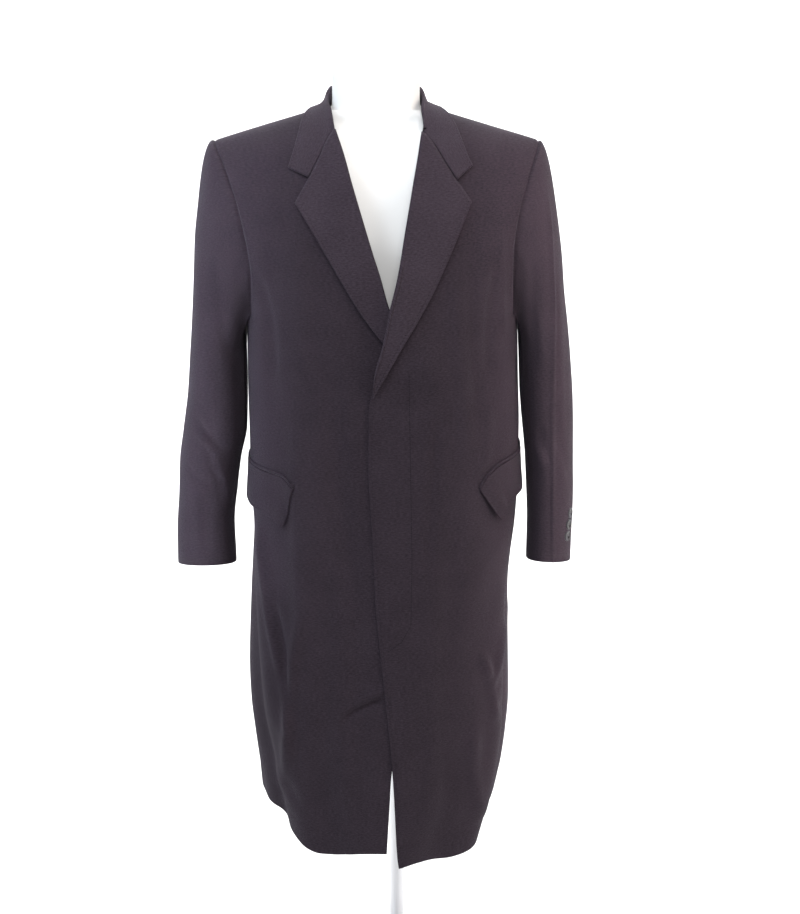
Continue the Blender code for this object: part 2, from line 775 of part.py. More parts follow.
def sleeve_pieces(name, rows, flip):
    """Top and under sleeve from the rings."""
    count = len(rows[0])
    top = Cloth("top_sleeve_" + name)
    under = Cloth("under_sleeve_" + name)
    top.grid([[row[j] for j in range(FRONT_SEAM, HIND_SEAM + 1)] for row in rows], flip)
    around = [j % count for j in range(HIND_SEAM, count + FRONT_SEAM + 1)]
    under.grid([[row[j] for j in around] for row in rows], flip)
    return top, under


# ------------------------------------------------------- pieces laid on a front


def laid(point, trees, clearance):
    """The point, moved out until it clears the cloth beneath it."""
    for _ in range(3):
        for tree in trees:
            near, normal, _, distance = tree.find_nearest(point, 0.06)
            if near is None:
                continue
            out = (point - near).dot(normal)
            if out < clearance and distance < 0.03:
                point = point + normal * (clearance - out)
    return point


def on_front(x, z, tree):
    """Point of a front's outer face straight in from -Y, and its normal."""
    hit, normal, _, _ = tree.ray_cast(Vector((x, -1.0, z)), Vector((0.0, 1.0, 0.0)))
    if hit is None:
        hit, normal, _, _ = tree.find_nearest(Vector((x, -0.14, z)))
    return hit, normal


def volume(points, faces):
    """Signed volume inside closed faces."""
    total = 0.0
    for face in faces:
        first = points[face[0]]
        for a, b in zip(face[1:], face[2:]):
            total += first.dot(points[a].cross(points[b]))
    return total / 6


def loft(name, rings, stuff="wool"):
    """Closed solid through rings of equal count, with capped ends."""
    count = len(rings[0])
    points = [p for ring in rings for p in ring]
    faces = []
    for i in range(len(rings) - 1):
        for j in range(count):
            a = i * count + j
            b = i * count + (j + 1) % count
            faces.append([a, b, b + count, a + count])
    half = count // 2
    last = (len(rings) - 1) * count
    for base, turned in ((0, True), (last, False)):
        for j in range(half - 1):
            quad = [base + j, base + j + 1, base + count - 2 - j, base + count - 1 - j]
            faces.append(quad[::-1] if turned else quad)
        if count % 2:
            corner = [base + half - 1, base + half, base + half + 1]
            faces.append(corner[::-1] if turned else corner)
    if volume(points, faces) < 0:
        faces = [f[::-1] for f in faces]
    return link(name, points, faces, stuff)


def lapel(name, shape, edge, tree):
    """Turned facing: a thin leaf with a full, round roll at its inner edge."""
    steps = 7
    rings = []
    roll_end = shape["top"][0]
    tip = shape["top"][-1]
    for i in range(LAPEL_ROWS + 1):
        t = i / LAPEL_ROWS
        level = shape["roll"][0] + (shape["roll"][1] - shape["roll"][0]) * t
        inner = (table(edge, level), level)
        outer = along(shape["edge"], t)
        way = Vector((outer[0] - inner[0], 0.0, outer[1] - inner[1]))
        way = way.normalized()
        under, over = [], []
        for k in range(steps + 1):
            s = k / steps
            x = inner[0] + (outer[0] - inner[0]) * s
            z = inner[1] + (outer[1] - inner[1]) * s
            corner = along(shape["top"], s)
            straight = (roll_end[0] + (tip[0] - roll_end[0]) * s, roll_end[1] + (tip[1] - roll_end[1]) * s)
            x += (corner[0] - straight[0]) * t ** 3
            z += (corner[1] - straight[1]) * t ** 3
            if k == 0:
                x += way.x * 0.0024
                z += way.z * 0.0024
            base, normal = on_front(x, z, tree)
            stand = REST + 0.0021 + 0.0012 * math.sin(math.pi * s) * math.sin(math.pi * min(t, 0.9))
            height = LAPEL_THICK + (ROLL_HEIGHT - LAPEL_THICK) * (1 - s) ** 2
            height *= 0.55 + 0.45 * ease(t / 0.12)
            point = laid(base + normal * stand, [tree], REST + 0.0024)
            under.append(point)
            over.append(point + normal * height)
            if k == 0:
                apex_way = (-way - normal * (-way).dot(normal)).normalized()
                lip = point + apex_way * 0.0042 - normal * 0.0003
                nose = point + apex_way * 0.0058 + normal * (0.45 * height)
        rings.append(under[::-1] + [lip, nose] + over)
    for ring in rings:
        ring.append(ring[-1] * 0.5 + ring[0] * 0.5 + (ring[0] - ring[1]).normalized() * 0.0006)
    return loft(name, rings)


def nearest_on(path, point):
    """Closest point of an open path."""
    best = None
    for a, b in zip(path, path[1:]):
        way = b - a
        if way.length < 1e-6:
            continue
        share = min(max((point - a).dot(way) / way.length_squared, 0.0), 1.0)
        here = a + way * share
        if best is None or (here - point).length < (best - point).length:
            best = here
    return best


def collar(trees, neck_seam):
    """Stand and fall in one folded leaf round the neck."""
    rings = []
    stations = 30
    folds = [c[0] for c in COLLAR]
    edges = [c[1] for c in COLLAR]
    shares = [(c[2],) for c in COLLAR]
    for i in range(stations + 1):
        t = i / stations
        fold_point = Vector(along(folds, t))
        edge_point = Vector(along(edges, t))
        standing = along(shares, t)[0]
        across = edge_point - fold_point
        flat = Vector((across.x, across.y, 0.0)).normalized()
        fold_point += across.normalized() * 0.0016 * (1 - standing)
        side = fold_way(folds, t)
        under = []
        for k in range(FALL_STEPS + 1):
            s = k / FALL_STEPS
            point = fold_point.lerp(edge_point, s)
            point.z += standing * SAG * math.sin(math.pi * s)
            clear = REST + 0.0016 + 0.0010 * (1 - s)
            if standing < 0.25:
                near, normal = on_front(point.x, point.z, trees[0 if point.x < NECK_X else 1])
                point = (near + normal * clear).lerp(point, ease(standing / 0.25))
            under.append(laid(point, trees, clear))
        over = []
        for k, point in enumerate(under):
            down = under[min(k + 1, FALL_STEPS)] - under[max(k - 1, 0)]
            over.append(point + side.cross(down).normalized() * COLLAR_THICK)
        normal = (over[0] - under[0]).normalized()
        way = (under[0] - under[1]).normalized()
        nose = [under[0].lerp(over[0], 0.80) + way * 0.0008, under[0].lerp(over[0], 0.60) + way * 0.0010]
        nose += [under[0].lerp(over[0], 0.45) + way * 0.0009, under[0].lerp(over[0], 0.32) + way * 0.0007]
        nose += [under[0].lerp(over[0], 0.20) + way * 0.0005, under[0].lerp(over[0], 0.10) + way * 0.0003]
        base = nearest_on(neck_seam, under[0]) + Vector((0.0, 0.0, 0.0007))
        rise = Vector((0.0, 0.0, 1.0))
        full = [
            over[0] - flat * 0.0022 + rise * 0.0014,
            under[0] - flat * 0.0040 + rise * 0.0012,
            under[0] - flat * 0.0040 - rise * 0.0030,
            base - flat * 0.0022,
            base - flat * 0.0001,
            under[0] - flat * 0.0014 - rise * 0.0040,
        ]
        share = ease(standing / 0.9)
        hook = [a.lerp(b, share) for a, b in zip(nose, full)]
        rings.append(over[::-1] + hook + under)
    return rings


def fold_way(folds, t):
    """Way along the collar's fold at t."""
    a = Vector(along(folds, max(t - 0.01, 0.0)))
    b = Vector(along(folds, min(t + 0.01, 1.0)))
    return (b - a).normalized()


def patch(name, stations, raise_top, raise_low, base, thickness, flare, trees, columns=9, rows=4):
    """A flap or jet: a strip of the body's face, moved out and closed.

    The strip runs from the top line, raised by raise_top, down to the bottom
    line, or to the top line raised by raise_low for a jet.
    """
    outer, inner = [], []
    for i in range(rows + 1):
        v = i / rows
        for j in range(columns + 1):
            u = j / columns
            over = (table(stations, u, 1), table(stations, u, 2) + raise_top)
            below = (table(stations, u, 3), table(stations, u, 4))
            if raise_low is not None:
                below = (over[0], table(stations, u, 2) + raise_low)
            angle = over[0] + (below[0] - over[0]) * v
            z = over[1] + (below[1] - over[1]) * v
            point = skirt(angle, z)
            cx, hx, front, back, _ = section(z)
            turn = math.radians(angle)
            depth = back if math.sin(turn) > 0 else front
            away = Vector((math.cos(turn) / hx, math.sin(turn) / depth, 0.0)).normalized()
            curl = 1.0 + 0.8 * math.exp(-((u / 0.16) ** 2))
            stand = base + flare * curl * v ** 1.6
            low = laid(point + away * stand, trees, base)
            inner.append(low)
            outer.append(low + away * thickness)
    count = len(outer)
    wide = columns + 1
    faces = []
    for i in range(rows):
        for j in range(columns):
            a = i * wide + j
            quad = [a, a + 1, a + 1 + wide, a + wide]
            faces.append(quad)
            faces.append([k + count for k in quad[::-1]])
    ring = list(range(wide))
    ring += [i * wide + columns for i in range(1, rows + 1)]
    ring += [rows * wide + j for j in range(columns - 1, -1, -1)]
    ring += [i * wide for i in range(rows - 1, 0, -1)]
    for a, b in zip(ring, ring[1:] + ring[:1]):
        faces.append([b, a, a + count, b + count])
    points = outer + inner
    if volume(points, faces) < 0:
        faces = [f[::-1] for f in faces]
    return link(name, points, faces, "wool")


# ----------------------------------------------------------------------- rigid


def disc(name, centre, axis, radius, thickness, stuff, sides=24):
    """Button: a disc with a soft rim and a shallow dish."""
    axis = axis.normalized()
    u = axis.orthogonal().normalized()
    v = axis.cross(u)
    profile = (
        (0.82, 0.00),
        (1.00, 0.28),
        (1.00, 0.72),
        (0.88, 1.00),
        (0.66, 0.94),
    )
    rings = []
    for share, up in profile:
        ring = []
        for k in range(sides):
            turn = 2 * math.pi * k / sides
            ring.append(centre + (u * math.cos(turn) + v * math.sin(turn)) * radius * share + axis * thickness * up)
        rings.append(ring)
    points = [p for ring in rings for p in ring]
    faces = []
    for i in range(len(rings) - 1):
        for k in range(sides):
            a = i * sides + k
            b = i * sides + (k + 1) % sides
            faces.append([a, b, b + sides, a + sides])
    faces.append(list(range(sides))[::-1])
    faces.append(list(range((len(rings) - 1) * sides, len(rings) * sides)))
    return link(name, points, faces, stuff)


def turned(name, profile, stuff, sides=32):
    """Solid of revolution about the pole's axis: radius, height pairs."""
    points, faces = [], []
    for radius, z in profile:
        for k in range(sides):
            turn = 2 * math.pi * k / sides
            points.append(Vector((radius * math.cos(turn), radius * math.sin(turn), z)))
    for i in range(len(profile) - 1):
        for k in range(sides):
            a = i * sides + k
            b = i * sides + (k + 1) % sides
            faces.append([a, b, b + sides, a + sides])
    faces.append(list(range(sides))[::-1])
    faces.append(list(range((len(profile) - 1) * sides, len(profile) * sides)))
    return link(name, points, faces, stuff)


def dress_form():
    """Torso and neck in one smooth skin, with a slanted cap on the neck."""
    points, faces = [], []
    rows = []
    for k, (z, half, front, back) in enumerate(FORM):
        rows.append((z, half, front, back, 0.0))
    rows.append((NECK_TOP[0], 0.0635, -0.0520, 0.0530, 1.0))
    for z, half, front, back, slant in rows:
        n = 2.3 if z < 1.44 else 2.0
        cy = (front + back) / 2
        hy = (back - front) / 2
        for k in range(FORM_SIDES):
            turn = 2 * math.pi * k / FORM_SIDES
            x = FORM_X + half * power(math.cos(turn), 2 / n)
            y = cy + hy * power(math.sin(turn), 2 / n)
            rise = slant * (NECK_TOP[1] - NECK_TOP[0]) * (y - front) / (back - front)
            points.append(Vector((x, y, z + rise)))
    for i in range(len(rows) - 1):
        for k in range(FORM_SIDES):
            a = i * FORM_SIDES + k
            b = i * FORM_SIDES + (k + 1) % FORM_SIDES
            faces.append([a, b, b + FORM_SIDES, a + FORM_SIDES])
    faces.append(list(range(FORM_SIDES))[::-1])
    last = (len(rows) - 1) * FORM_SIDES
    faces.append(list(range(last, last + FORM_SIDES)))
    return link("dress_form", points, faces, "form")


# -------------------------------------------------------------------- assembly


def add_normals(total, cloth):
    """Sum the outward ways of all pieces that share a point."""
    for point, normal in zip(cloth.points, cloth.normals()):
        key = (round(point.x, 6), round(point.y, 6), round(point.z, 6))
        total[key] = total.get(key, Vector()) + normal.normalized()


def build():
    for thing in list(bpy.data.objects):
        bpy.data.objects.remove(thing, do_unlink=True)

    grids = {}
    pieces = {}
    for name, left in (("left", True), ("right", False)):
        grids["front_" + name] = front_grid(left)
        grids["back_" + name] = back_grid(left)
    for name, left in (("left", True), ("right", False)):
        front = Cloth("front_" + name)
        front.grid(grids["front_" + name], flip=left)
        back = Cloth("back_" + name)
        back.grid(grids["back_" + name], flip=not left)
        ring = armhole_ring(grids["front_" + name], grids["back_" + name])
        sleeve, reach = (SLEEVE_LEFT, CAP_LEFT) if left else (SLEEVE_RIGHT, CAP_RIGHT)
        rows, _ = sleeve_rows(ring, sleeve, reach)
        top, under = sleeve_pieces(name, rows, flip=left)
        pieces.update({front.name: front, back.name: back, top.name: top, under.name: under})

    shared = {}
    for cloth in pieces.values():
        add_normals(shared, cloth)
    for grid in grids.values():
        for point in grid[0]:
            if point and abs(point.x - NECK_X) > NECK_HALF - 0.0005:
                drop = shoulder_line(point.x + 0.001) - shoulder_line(point.x - 0.001)
                key = (round(point.x, 6), round(point.y, 6), round(point.z, 6))
                shared[key] = Vector((-drop, 0.0, 0.002)).normalized()
    for cloth in pieces.values():
        wall(cloth, shared, seam=SEAM * (1.9 if "sleeve" in cloth.name else 1.0))

    left_tree = pieces["front_left"].tree()
    right_tree = pieces["front_right"].tree()
    lapel("lapel_right", LAPEL_RIGHT, RIGHT_EDGE, right_tree)
    lapel("lapel_left", LAPEL_LEFT, LEFT_EDGE, left_tree)

    around = [pieces[n].tree() for n in ("front_right", "front_left", "back_right", "back_left")]
    neck_seam = []
    for name, turned_round in (("right", False), ("left", True)):
        front_edge = [row[0] for row in grids["front_" + name][:4]][::-1]
        back_edge = grids["back_" + name][0][:NECK_COLUMNS][::-1]
        path = front_edge + back_edge
        neck_seam += path[::-1] if turned_round else path
    loft("collar", collar(around, neck_seam))

    for name, stations in (("right", FLAP_RIGHT), ("left", FLAP_LEFT)):
        tree = [right_tree if name == "right" else left_tree]
        patch("flap_" + name, stations, 0.0, None, REST, FLAP_THICK, FLAP_FLARE, tree)
        high = 0.0006 + JET_HEIGHT
        patch("jet_" + name, stations, high, 0.0006, REST, JET_THICK, 0.0, tree, rows=1)

    for name, sleeve in (("left", SLEEVE_LEFT), ("right", SLEEVE_RIGHT)):
        for k, z in enumerate(BUTTON_HEIGHTS):
            angle = BUTTON_ANGLE
            here = sleeve_point(sleeve, angle, z)
            side = sleeve_point(sleeve, angle + 4.0, z) - sleeve_point(sleeve, angle - 4.0, z)
            up = sleeve_point(sleeve, angle, z + 0.01) - sleeve_point(sleeve, angle, z - 0.01)
            axis = side.cross(up).normalized()
            if axis.x * (1 if name == "left" else -1) < 0 and abs(axis.x) > 0.3:
                axis = -axis
            if abs(axis.x) <= 0.3 and axis.y < 0:
                axis = -axis
            disc(f"button_{name}_{k + 1}", here + axis * 0.0006, axis, BUTTON_RADIUS, BUTTON_THICK, "horn")

    dress_form()
    pole_top = FORM[0][0] - 0.0003
    turned("pole", ((POLE_RADIUS, SOCKET_TOP - 0.020), (POLE_RADIUS, pole_top)), "steel", sides=28)
    turned(
        "base",
        (
            (BASE_RADIUS - 0.003, 0.0),
            (BASE_RADIUS, 0.003),
            (BASE_RADIUS, BASE_THICK - 0.003),
            (BASE_RADIUS - 0.004, BASE_THICK),
            (SOCKET_RADIUS, BASE_THICK + 0.001),
            (SOCKET_RADIUS, SOCKET_TOP - 0.024),
            (SOCKET_RADIUS - 0.004, SOCKET_TOP - 0.0203),
        ),
        "steel",
        sides=48,
    )


build()
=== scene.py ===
"""Looks of a wool overcoat that hangs on a limbless dress form with a pole and a base.

Metres, +Z up.  The coat's front faces -Y and the wearer's left side is +X.
"""

import math

import bmesh
import bpy
import numpy as np
from mathutils import Matrix, Vector
from mathutils.bvhtree import BVHTree
from mathutils.kdtree import KDTree


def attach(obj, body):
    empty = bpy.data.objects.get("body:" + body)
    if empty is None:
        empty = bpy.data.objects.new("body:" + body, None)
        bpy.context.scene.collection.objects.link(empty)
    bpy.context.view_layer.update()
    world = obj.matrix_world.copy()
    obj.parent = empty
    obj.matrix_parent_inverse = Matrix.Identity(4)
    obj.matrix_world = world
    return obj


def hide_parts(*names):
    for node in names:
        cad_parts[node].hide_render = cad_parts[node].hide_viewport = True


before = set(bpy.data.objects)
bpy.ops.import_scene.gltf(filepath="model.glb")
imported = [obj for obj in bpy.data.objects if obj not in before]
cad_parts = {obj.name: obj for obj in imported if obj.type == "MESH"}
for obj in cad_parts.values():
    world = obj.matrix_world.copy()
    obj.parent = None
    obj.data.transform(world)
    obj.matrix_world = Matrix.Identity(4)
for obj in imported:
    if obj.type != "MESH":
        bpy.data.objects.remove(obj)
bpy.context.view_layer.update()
bpy.ops.object.select_all(action="DESELECT")

# ------------------------------------------------------------ base and socket
# Round foot of the form: a steel plate with a turned socket on top, powder
# coated pale grey.  The plate lies flat on the floor and its rim is eased.

PLATE_RADIUS = 0.175
PLATE_THICK = 0.012
PLATE_RIM = 0.012           # flat ring round the plate's edge
SOCKET_RADIUS = 0.023
SOCKET_TOP = 0.0277


def choose(thing):
    """Make a thing the only one that is selected, and the active one."""
    bpy.ops.object.select_all(action="DESELECT")
    thing.select_set(True)
    bpy.context.view_layer.objects.active = thing


def pick_faces(thing, wanted):
    """Select the faces that a test accepts and leave edit mode open."""
    bpy.ops.object.mode_set(mode="EDIT")
    bpy.ops.mesh.select_mode(type="FACE")
    bpy.ops.mesh.select_all(action="DESELECT")
    shape = bmesh.from_edit_mesh(thing.data)
    for face in shape.faces:
        face.select_set(bool(wanted(face)))
    bmesh.update_edit_mesh(thing.data)


def turned(vertices, radius, low, high):
    """New cylinder on the Z axis between two heights."""
    bpy.ops.mesh.primitive_cylinder_add(
        vertices=vertices, radius=radius, depth=high - low, location=(0, 0, (high + low) / 2)
    )
    return bpy.context.object


def cut(*insets):
    """Inset the picked faces; each inset as its thickness and how far it moves up."""
    for thickness, rise in insets:
        bpy.ops.mesh.inset(thickness=thickness)
        if rise:
            bpy.ops.transform.translate(value=(0, 0, rise))


def settle(thing, name):
    """Put the place, turn and scale of a finished thing into its mesh."""
    thing.name = thing.data.name = name
    choose(thing)
    bpy.ops.object.transform_apply(location=True, rotation=True, scale=True)
    return thing


def apply_modifiers(thing):
    choose(thing)
    for modifier in list(thing.modifiers):
        bpy.ops.object.modifier_apply(modifier=modifier.name)


def ease_edges(thing, width, segments=3, angle=30.0):
    """Round the sharp edges and shade the rest smooth."""
    bevel = thing.modifiers.new("eased", "BEVEL")
    bevel.width = width
    bevel.segments = segments
    bevel.limit_method = "ANGLE"
    bevel.angle_limit = math.radians(angle)
    apply_modifiers(thing)
    bpy.ops.object.shade_smooth_by_angle(angle=math.radians(35.0))


def feed(made, **values):
    """Set sockets of a node, or its attributes, by name.

    A value that is a node and one of its outputs is wired in.
    """
    for key, value in values.items():
        socket = {"first": 0, "second": 1, "third": 2}.get(key, key.replace("_", " "))
        if isinstance(socket, str) and socket not in made.inputs:
            setattr(made, key, value)
        elif isinstance(value, tuple) and isinstance(value[0], bpy.types.Node):
            made.id_data.links.new(value[0].outputs[value[1]], made.inputs[socket])
        else:
            made.inputs[socket].default_value = value
    return made


def node(tree, kind, **values):
    return feed(tree.nodes.new("ShaderNode" + kind), **values)


def new_material(name, **values):
    """Material with a bare Principled shader that is set to the values, and the shader."""
    made = bpy.data.materials.new(name)
    made.use_nodes = True
    return made, feed(made.node_tree.nodes["Principled BSDF"], **values)


def new_group(name, inputs, outputs):
    """Node group and its two ends; each socket as name, kind."""
    group = bpy.data.node_groups.new(name, "ShaderNodeTree")
    for way, sockets in (("INPUT", inputs), ("OUTPUT", outputs)):
        for label, kind in sockets:
            group.interface.new_socket(label, in_out=way, socket_type="NodeSocket" + kind)
    return group, group.nodes.new("NodeGroupInput"), group.nodes.new("NodeGroupOutput")


# A colour that wanders a little, with fine grain for the bump.
MOTTLED, start, end = new_group(
    "mottled_finish",
    (
        ("Vector", "Vector"), ("Colour", "Color"), ("Second colour", "Color"),
        ("Patch scale", "Float"), ("Grain scale", "Float"), ("Roughness", "Float"),
    ),
    (("Colour", "Color"), ("Roughness", "Float"), ("Height", "Float")),
)
patches = node(
    MOTTLED, "TexNoise", Vector=(start, "Vector"), Scale=(start, "Patch scale"), Detail=3.0, Roughness=0.6
)
grain = node(
    MOTTLED, "TexNoise", Vector=(start, "Vector"), Scale=(start, "Grain scale"), Detail=2.0, Roughness=0.5
)
blend = node(
    MOTTLED, "Mix", data_type="RGBA", Factor=(patches, 0), A=(start, "Colour"), B=(start, "Second colour")
)
rough = node(
    MOTTLED, "Math", operation="MULTIPLY_ADD", first=(patches, 0), second=0.16, third=(start, "Roughness")
)
shift = node(MOTTLED, "Math", operation="ADD", first=(rough, 0), second=-0.08)
feed(end, Colour=(blend, "Result"), Roughness=(shift, 0), Height=(grain, 0))


def coat(shader, finish, bump, depth):
    """Wire a finish with colour, roughness and height into a shader."""
    relief = node(shader.id_data, "Bump", Strength=bump, Distance=depth, Height=(finish, "Height"))
    feed(shader, Base_Color=(finish, "Colour"), Roughness=(finish, "Roughness"), Normal=(relief, 0))


def mottled(name, colour, second, patch, grain, rough, bump, depth, **values):
    """Material with the mottled finish, on Object coordinates."""
    made, shader = new_material(name, Roughness=rough, **values)
    place = node(made.node_tree, "TexCoord")
    finish = node(
        made.node_tree, "Group", node_tree=MOTTLED, Vector=(place, "Object"), Colour=(*colour, 1.0),
        Second_colour=(*second, 1.0), Patch_scale=patch, Grain_scale=grain, Roughness=rough,
    )
    coat(shader, finish, bump, depth)
    return made


plate = turned(128, PLATE_RADIUS, 0.0, PLATE_THICK)
pick_faces(plate, lambda f: f.normal.z > 0.9)
cut((PLATE_RIM, 0), (PLATE_RADIUS - PLATE_RIM - SOCKET_RADIUS, 0))
bpy.ops.mesh.extrude_region_move(TRANSFORM_OT_translate={"value": (0, 0, SOCKET_TOP - PLATE_THICK)})
cut((0.0035, 0), (0.0065, -0.0012))
bpy.ops.object.mode_set(mode="OBJECT")
settle(plate, "base_plate")
ease_edges(plate, 0.0016)

plate.data.materials.append(mottled(
    "powder_coat", (0.66, 0.66, 0.67), (0.60, 0.60, 0.62), 9.0, 1400.0, 0.38, 0.12, 0.0003,
    Metallic=0.25, Coat_Weight=0.15,
))
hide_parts("base")
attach(plate, "root")

# ----------------------------------------------------------------------- pole
# Drawn steel tube that screws into the socket and carries the torso, bright
# along its length from the drawing.  Its lower end is turned hollow.

POLE_RADIUS = 0.012
POLE_FOOT = 0.028
POLE_TOP = 0.7997

pole = turned(64, POLE_RADIUS, POLE_FOOT, POLE_TOP)
pick_faces(pole, lambda f: f.normal.z < -0.9)
cut((0.0012, 0), (0.0006, 0.0010))
bpy.ops.object.mode_set(mode="OBJECT")
settle(pole, "pole_tube")
ease_edges(pole, 0.0005, 2)

tube, shader = new_material("satin_steel", Roughness=0.30, Metallic=0.85)
tree = tube.node_tree
place = node(tree, "TexCoord")
stretch = node(tree, "Mapping", Vector=(place, "Object"), Scale=(1.0, 1.0, 0.02))
draw = node(tree, "TexNoise", Vector=(stretch, 0), Scale=900.0, Detail=3.0)
tint = node(
    tree, "Mix", data_type="RGBA", Factor=(draw, 0), A=(0.62, 0.62, 0.63, 1.0), B=(0.78, 0.78, 0.80, 1.0)
)
lines = node(tree, "Bump", Height=(draw, 0), Strength=0.10, Distance=0.0002)
feed(shader, Base_Color=(tint, "Result"), Normal=(lines, 0))
pole.data.materials.append(tube)
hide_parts("pole")
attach(pole, "root")

# ----------------------------------------------------------------- dress form
# Limbless torso and neck moulded in one skin and painted cream white.  The neck
# ends in a slanted cap, and the bottom closes flat round the pole.

# height, half width, front y, back y
TORSO = (
    (0.8, 0.136, -0.084, 0.096),
    (0.8035, 0.146, -0.093, 0.104),
    (0.812, 0.153, -0.099, 0.11),
    (0.86, 0.162, -0.106, 0.117),
    (0.92, 0.16, -0.104, 0.112),
    (0.99, 0.149, -0.099, 0.099),
    (1.05, 0.145, -0.1, 0.094),
    (1.12, 0.154, -0.108, 0.101),
    (1.2, 0.168, -0.118, 0.11),
    (1.27, 0.178, -0.117, 0.115),
    (1.33, 0.186, -0.106, 0.112),
    (1.38, 0.191, -0.09, 0.102),
    (1.409, 0.192, -0.074, 0.088),
    (1.429, 0.188, -0.06, 0.073),
    (1.437, 0.18, -0.05, 0.062),
    (1.442, 0.164, -0.041, 0.052),
    (1.45, 0.1345, -0.038, 0.049),
    (1.4575, 0.108, -0.038, 0.049),
    (1.464, 0.083, -0.042, 0.053),
    (1.469, 0.0695, -0.043, 0.055),
    (1.476, 0.0642, -0.045, 0.056),
    (1.485, 0.0636, -0.0465, 0.056),
    (1.495, 0.0635, -0.047, 0.056),
    (1.51, 0.0635, -0.049, 0.055),
)
TORSO_X = -0.0292
NECK_HALF_WIDTH = 0.0635
NECK_FRONT, NECK_BACK = -0.052, 0.053
NECK_CAP = (1.528, 1.555)       # height of the cap's rim at the front and back
SKIN = 0.0004                   # how far the painted skin lies inside the form


def table(rows, key, column=1):
    """Smooth value of a column at the keys, never past its rows."""
    x = np.array([row[0] for row in rows], dtype=float)
    y = np.array([row[column] for row in rows], dtype=float)
    key = np.clip(np.asarray(key, dtype=float), x[0], x[-1])
    i = np.clip(np.searchsorted(x, key, side="left") - 1, 0, len(x) - 2)
    step = np.diff(x)
    slope = np.diff(y) / step
    knot = np.empty_like(y)
    knot[0], knot[-1] = slope[0], slope[-1]
    a, b = slope[:-1], slope[1:]
    knot[1:-1] = np.where(a * b > 0, 2 * a * b / np.where(a + b == 0, 1, a + b), 0)
    h = step[i]
    t = (key - x[i]) / h
    t2, t3 = t * t, t * t * t
    return (
        (2 * t3 - 3 * t2 + 1) * y[i]
        + (t3 - 2 * t2 + t) * knot[i] * h
        + (3 * t2 - 2 * t3) * y[i + 1]
        + (t3 - t2) * knot[i + 1] * h
    )


def power(value, exponent):
    return np.copysign(np.abs(value) ** exponent, value)


bpy.ops.mesh.primitive_circle_add(vertices=96, radius=0.1, fill_type="NOTHING", location=(0, 0, 0.8))
torso = bpy.context.object
levels = [TORSO[0][0]]
for low, high in zip(TORSO, TORSO[1:]):
    parts = max(1, round((high[0] - low[0]) / 0.016))
    levels += [low[0] + (high[0] - low[0]) * k / parts for k in range(1, parts + 1)]
levels.append(NECK_CAP[0])
bpy.ops.object.mode_set(mode="EDIT")
bpy.ops.mesh.select_mode(type="EDGE")
bpy.ops.mesh.select_all(action="SELECT")
for low, high in zip(levels, levels[1:]):
    bpy.ops.mesh.extrude_region_move(TRANSFORM_OT_translate={"value": (0, 0, high - low)})
bpy.ops.object.mode_set(mode="OBJECT")
settle(torso, "torso_form")
for vertex in torso.data.vertices:
    z = vertex.co.z
    turn = math.atan2(vertex.co.y, vertex.co.x)
    roundness = 2 / (2.3 if z < 1.44 else 2.0)
    on_cap = z > TORSO[-1][0] + 1e-4
    half, front, back = NECK_HALF_WIDTH, NECK_FRONT, NECK_BACK
    if not on_cap:
        half, front, back = (float(table(TORSO, z, c)) for c in (1, 2, 3))
    x = (half - SKIN) * float(power(np.cos(turn), roundness))
    y = (front + back) / 2 + ((back - front) / 2 - SKIN) * float(power(np.sin(turn), roundness))
    if on_cap:
        z += (NECK_CAP[1] - NECK_CAP[0]) * (y - front) / (back - front)
    vertex.co = (TORSO_X + x, y, z)
bpy.ops.object.mode_set(mode="EDIT")
bpy.ops.mesh.select_mode(type="EDGE")
bpy.ops.mesh.select_all(action="DESELECT")
bpy.ops.mesh.select_non_manifold()
bpy.ops.mesh.edge_face_add()
bpy.ops.object.mode_set(mode="OBJECT")
edit = bmesh.new()
edit.from_mesh(torso.data)
loose = [e for e in edit.edges if len(e.link_faces) < 2]
if loose:
    bmesh.ops.holes_fill(edit, edges=loose)
for face in edit.faces:
    if len(face.verts) > 4:
        bmesh.ops.inset_region(edit, faces=[face], thickness=0.004)
bmesh.ops.recalc_face_normals(edit, faces=edit.faces)
edit.to_mesh(torso.data)
edit.free()
ease_edges(torso, 0.0022, 3, 40.0)

torso.data.materials.append(mottled(
    "cream_paint", (0.93, 0.925, 0.915), (0.90, 0.89, 0.875), 14.0, 900.0, 0.55, 0.10, 0.0003,
    Coat_Weight=0.08, Coat_Roughness=0.35,
))
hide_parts("dress_form")
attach(torso, "root")

# ----------------------------------------------------------- fronts and backs
# Two fronts and two backs of navy melton, a milled and brushed wool.  They are
# sewn at the shoulders, sides and back centre, and the left front laps over the
# right.  Drape and creases are set in their outer faces by the tables below.

CLOTH = 0.0022
SEAM_GAP = 0.00003
SLEEVE_GAP = 0.00005
ARMPIT_Z = 1.180
NECK_Z = 1.4755
SHOULDER_Z = 1.4260
NECK_HALF = 0.070
NECK_X = -0.0285
SHOULDER_RIGHT_X = -0.264
SHOULDER_LEFT_X = 0.207
SHOULDER_REACH = 0.264      # half width of the chest's round at shoulder height
BACK_INSET = 0.008
RIDGE_Z = 1.5210
SIDE_SEAM = 5.0
RIDGE_CROWD = 1.7
CHEST_ROWS = 8
BODY_ROWS = 20
FRONT_COLUMNS = 12
SIDE_COLUMNS = 4
BACK_COLUMNS = 8
BACK_SIDE_COLUMNS = 3
NECK_COLUMNS = 3
LAST_ROW = CHEST_ROWS + BODY_ROWS
LAST_FRONT = FRONT_COLUMNS + SIDE_COLUMNS
LAST_BACK = BACK_COLUMNS + BACK_SIDE_COLUMNS
GRID_STEP = 0.125       # between the rows and columns of the fine grids
HEM_RIGHT = 268.0       # last angle of the right front's hem
HEM_LEFT = 272.0        # first angle of the left front's hem
CREASE_DEPTH = 2.3      # how much deeper than in the table the creases are pressed
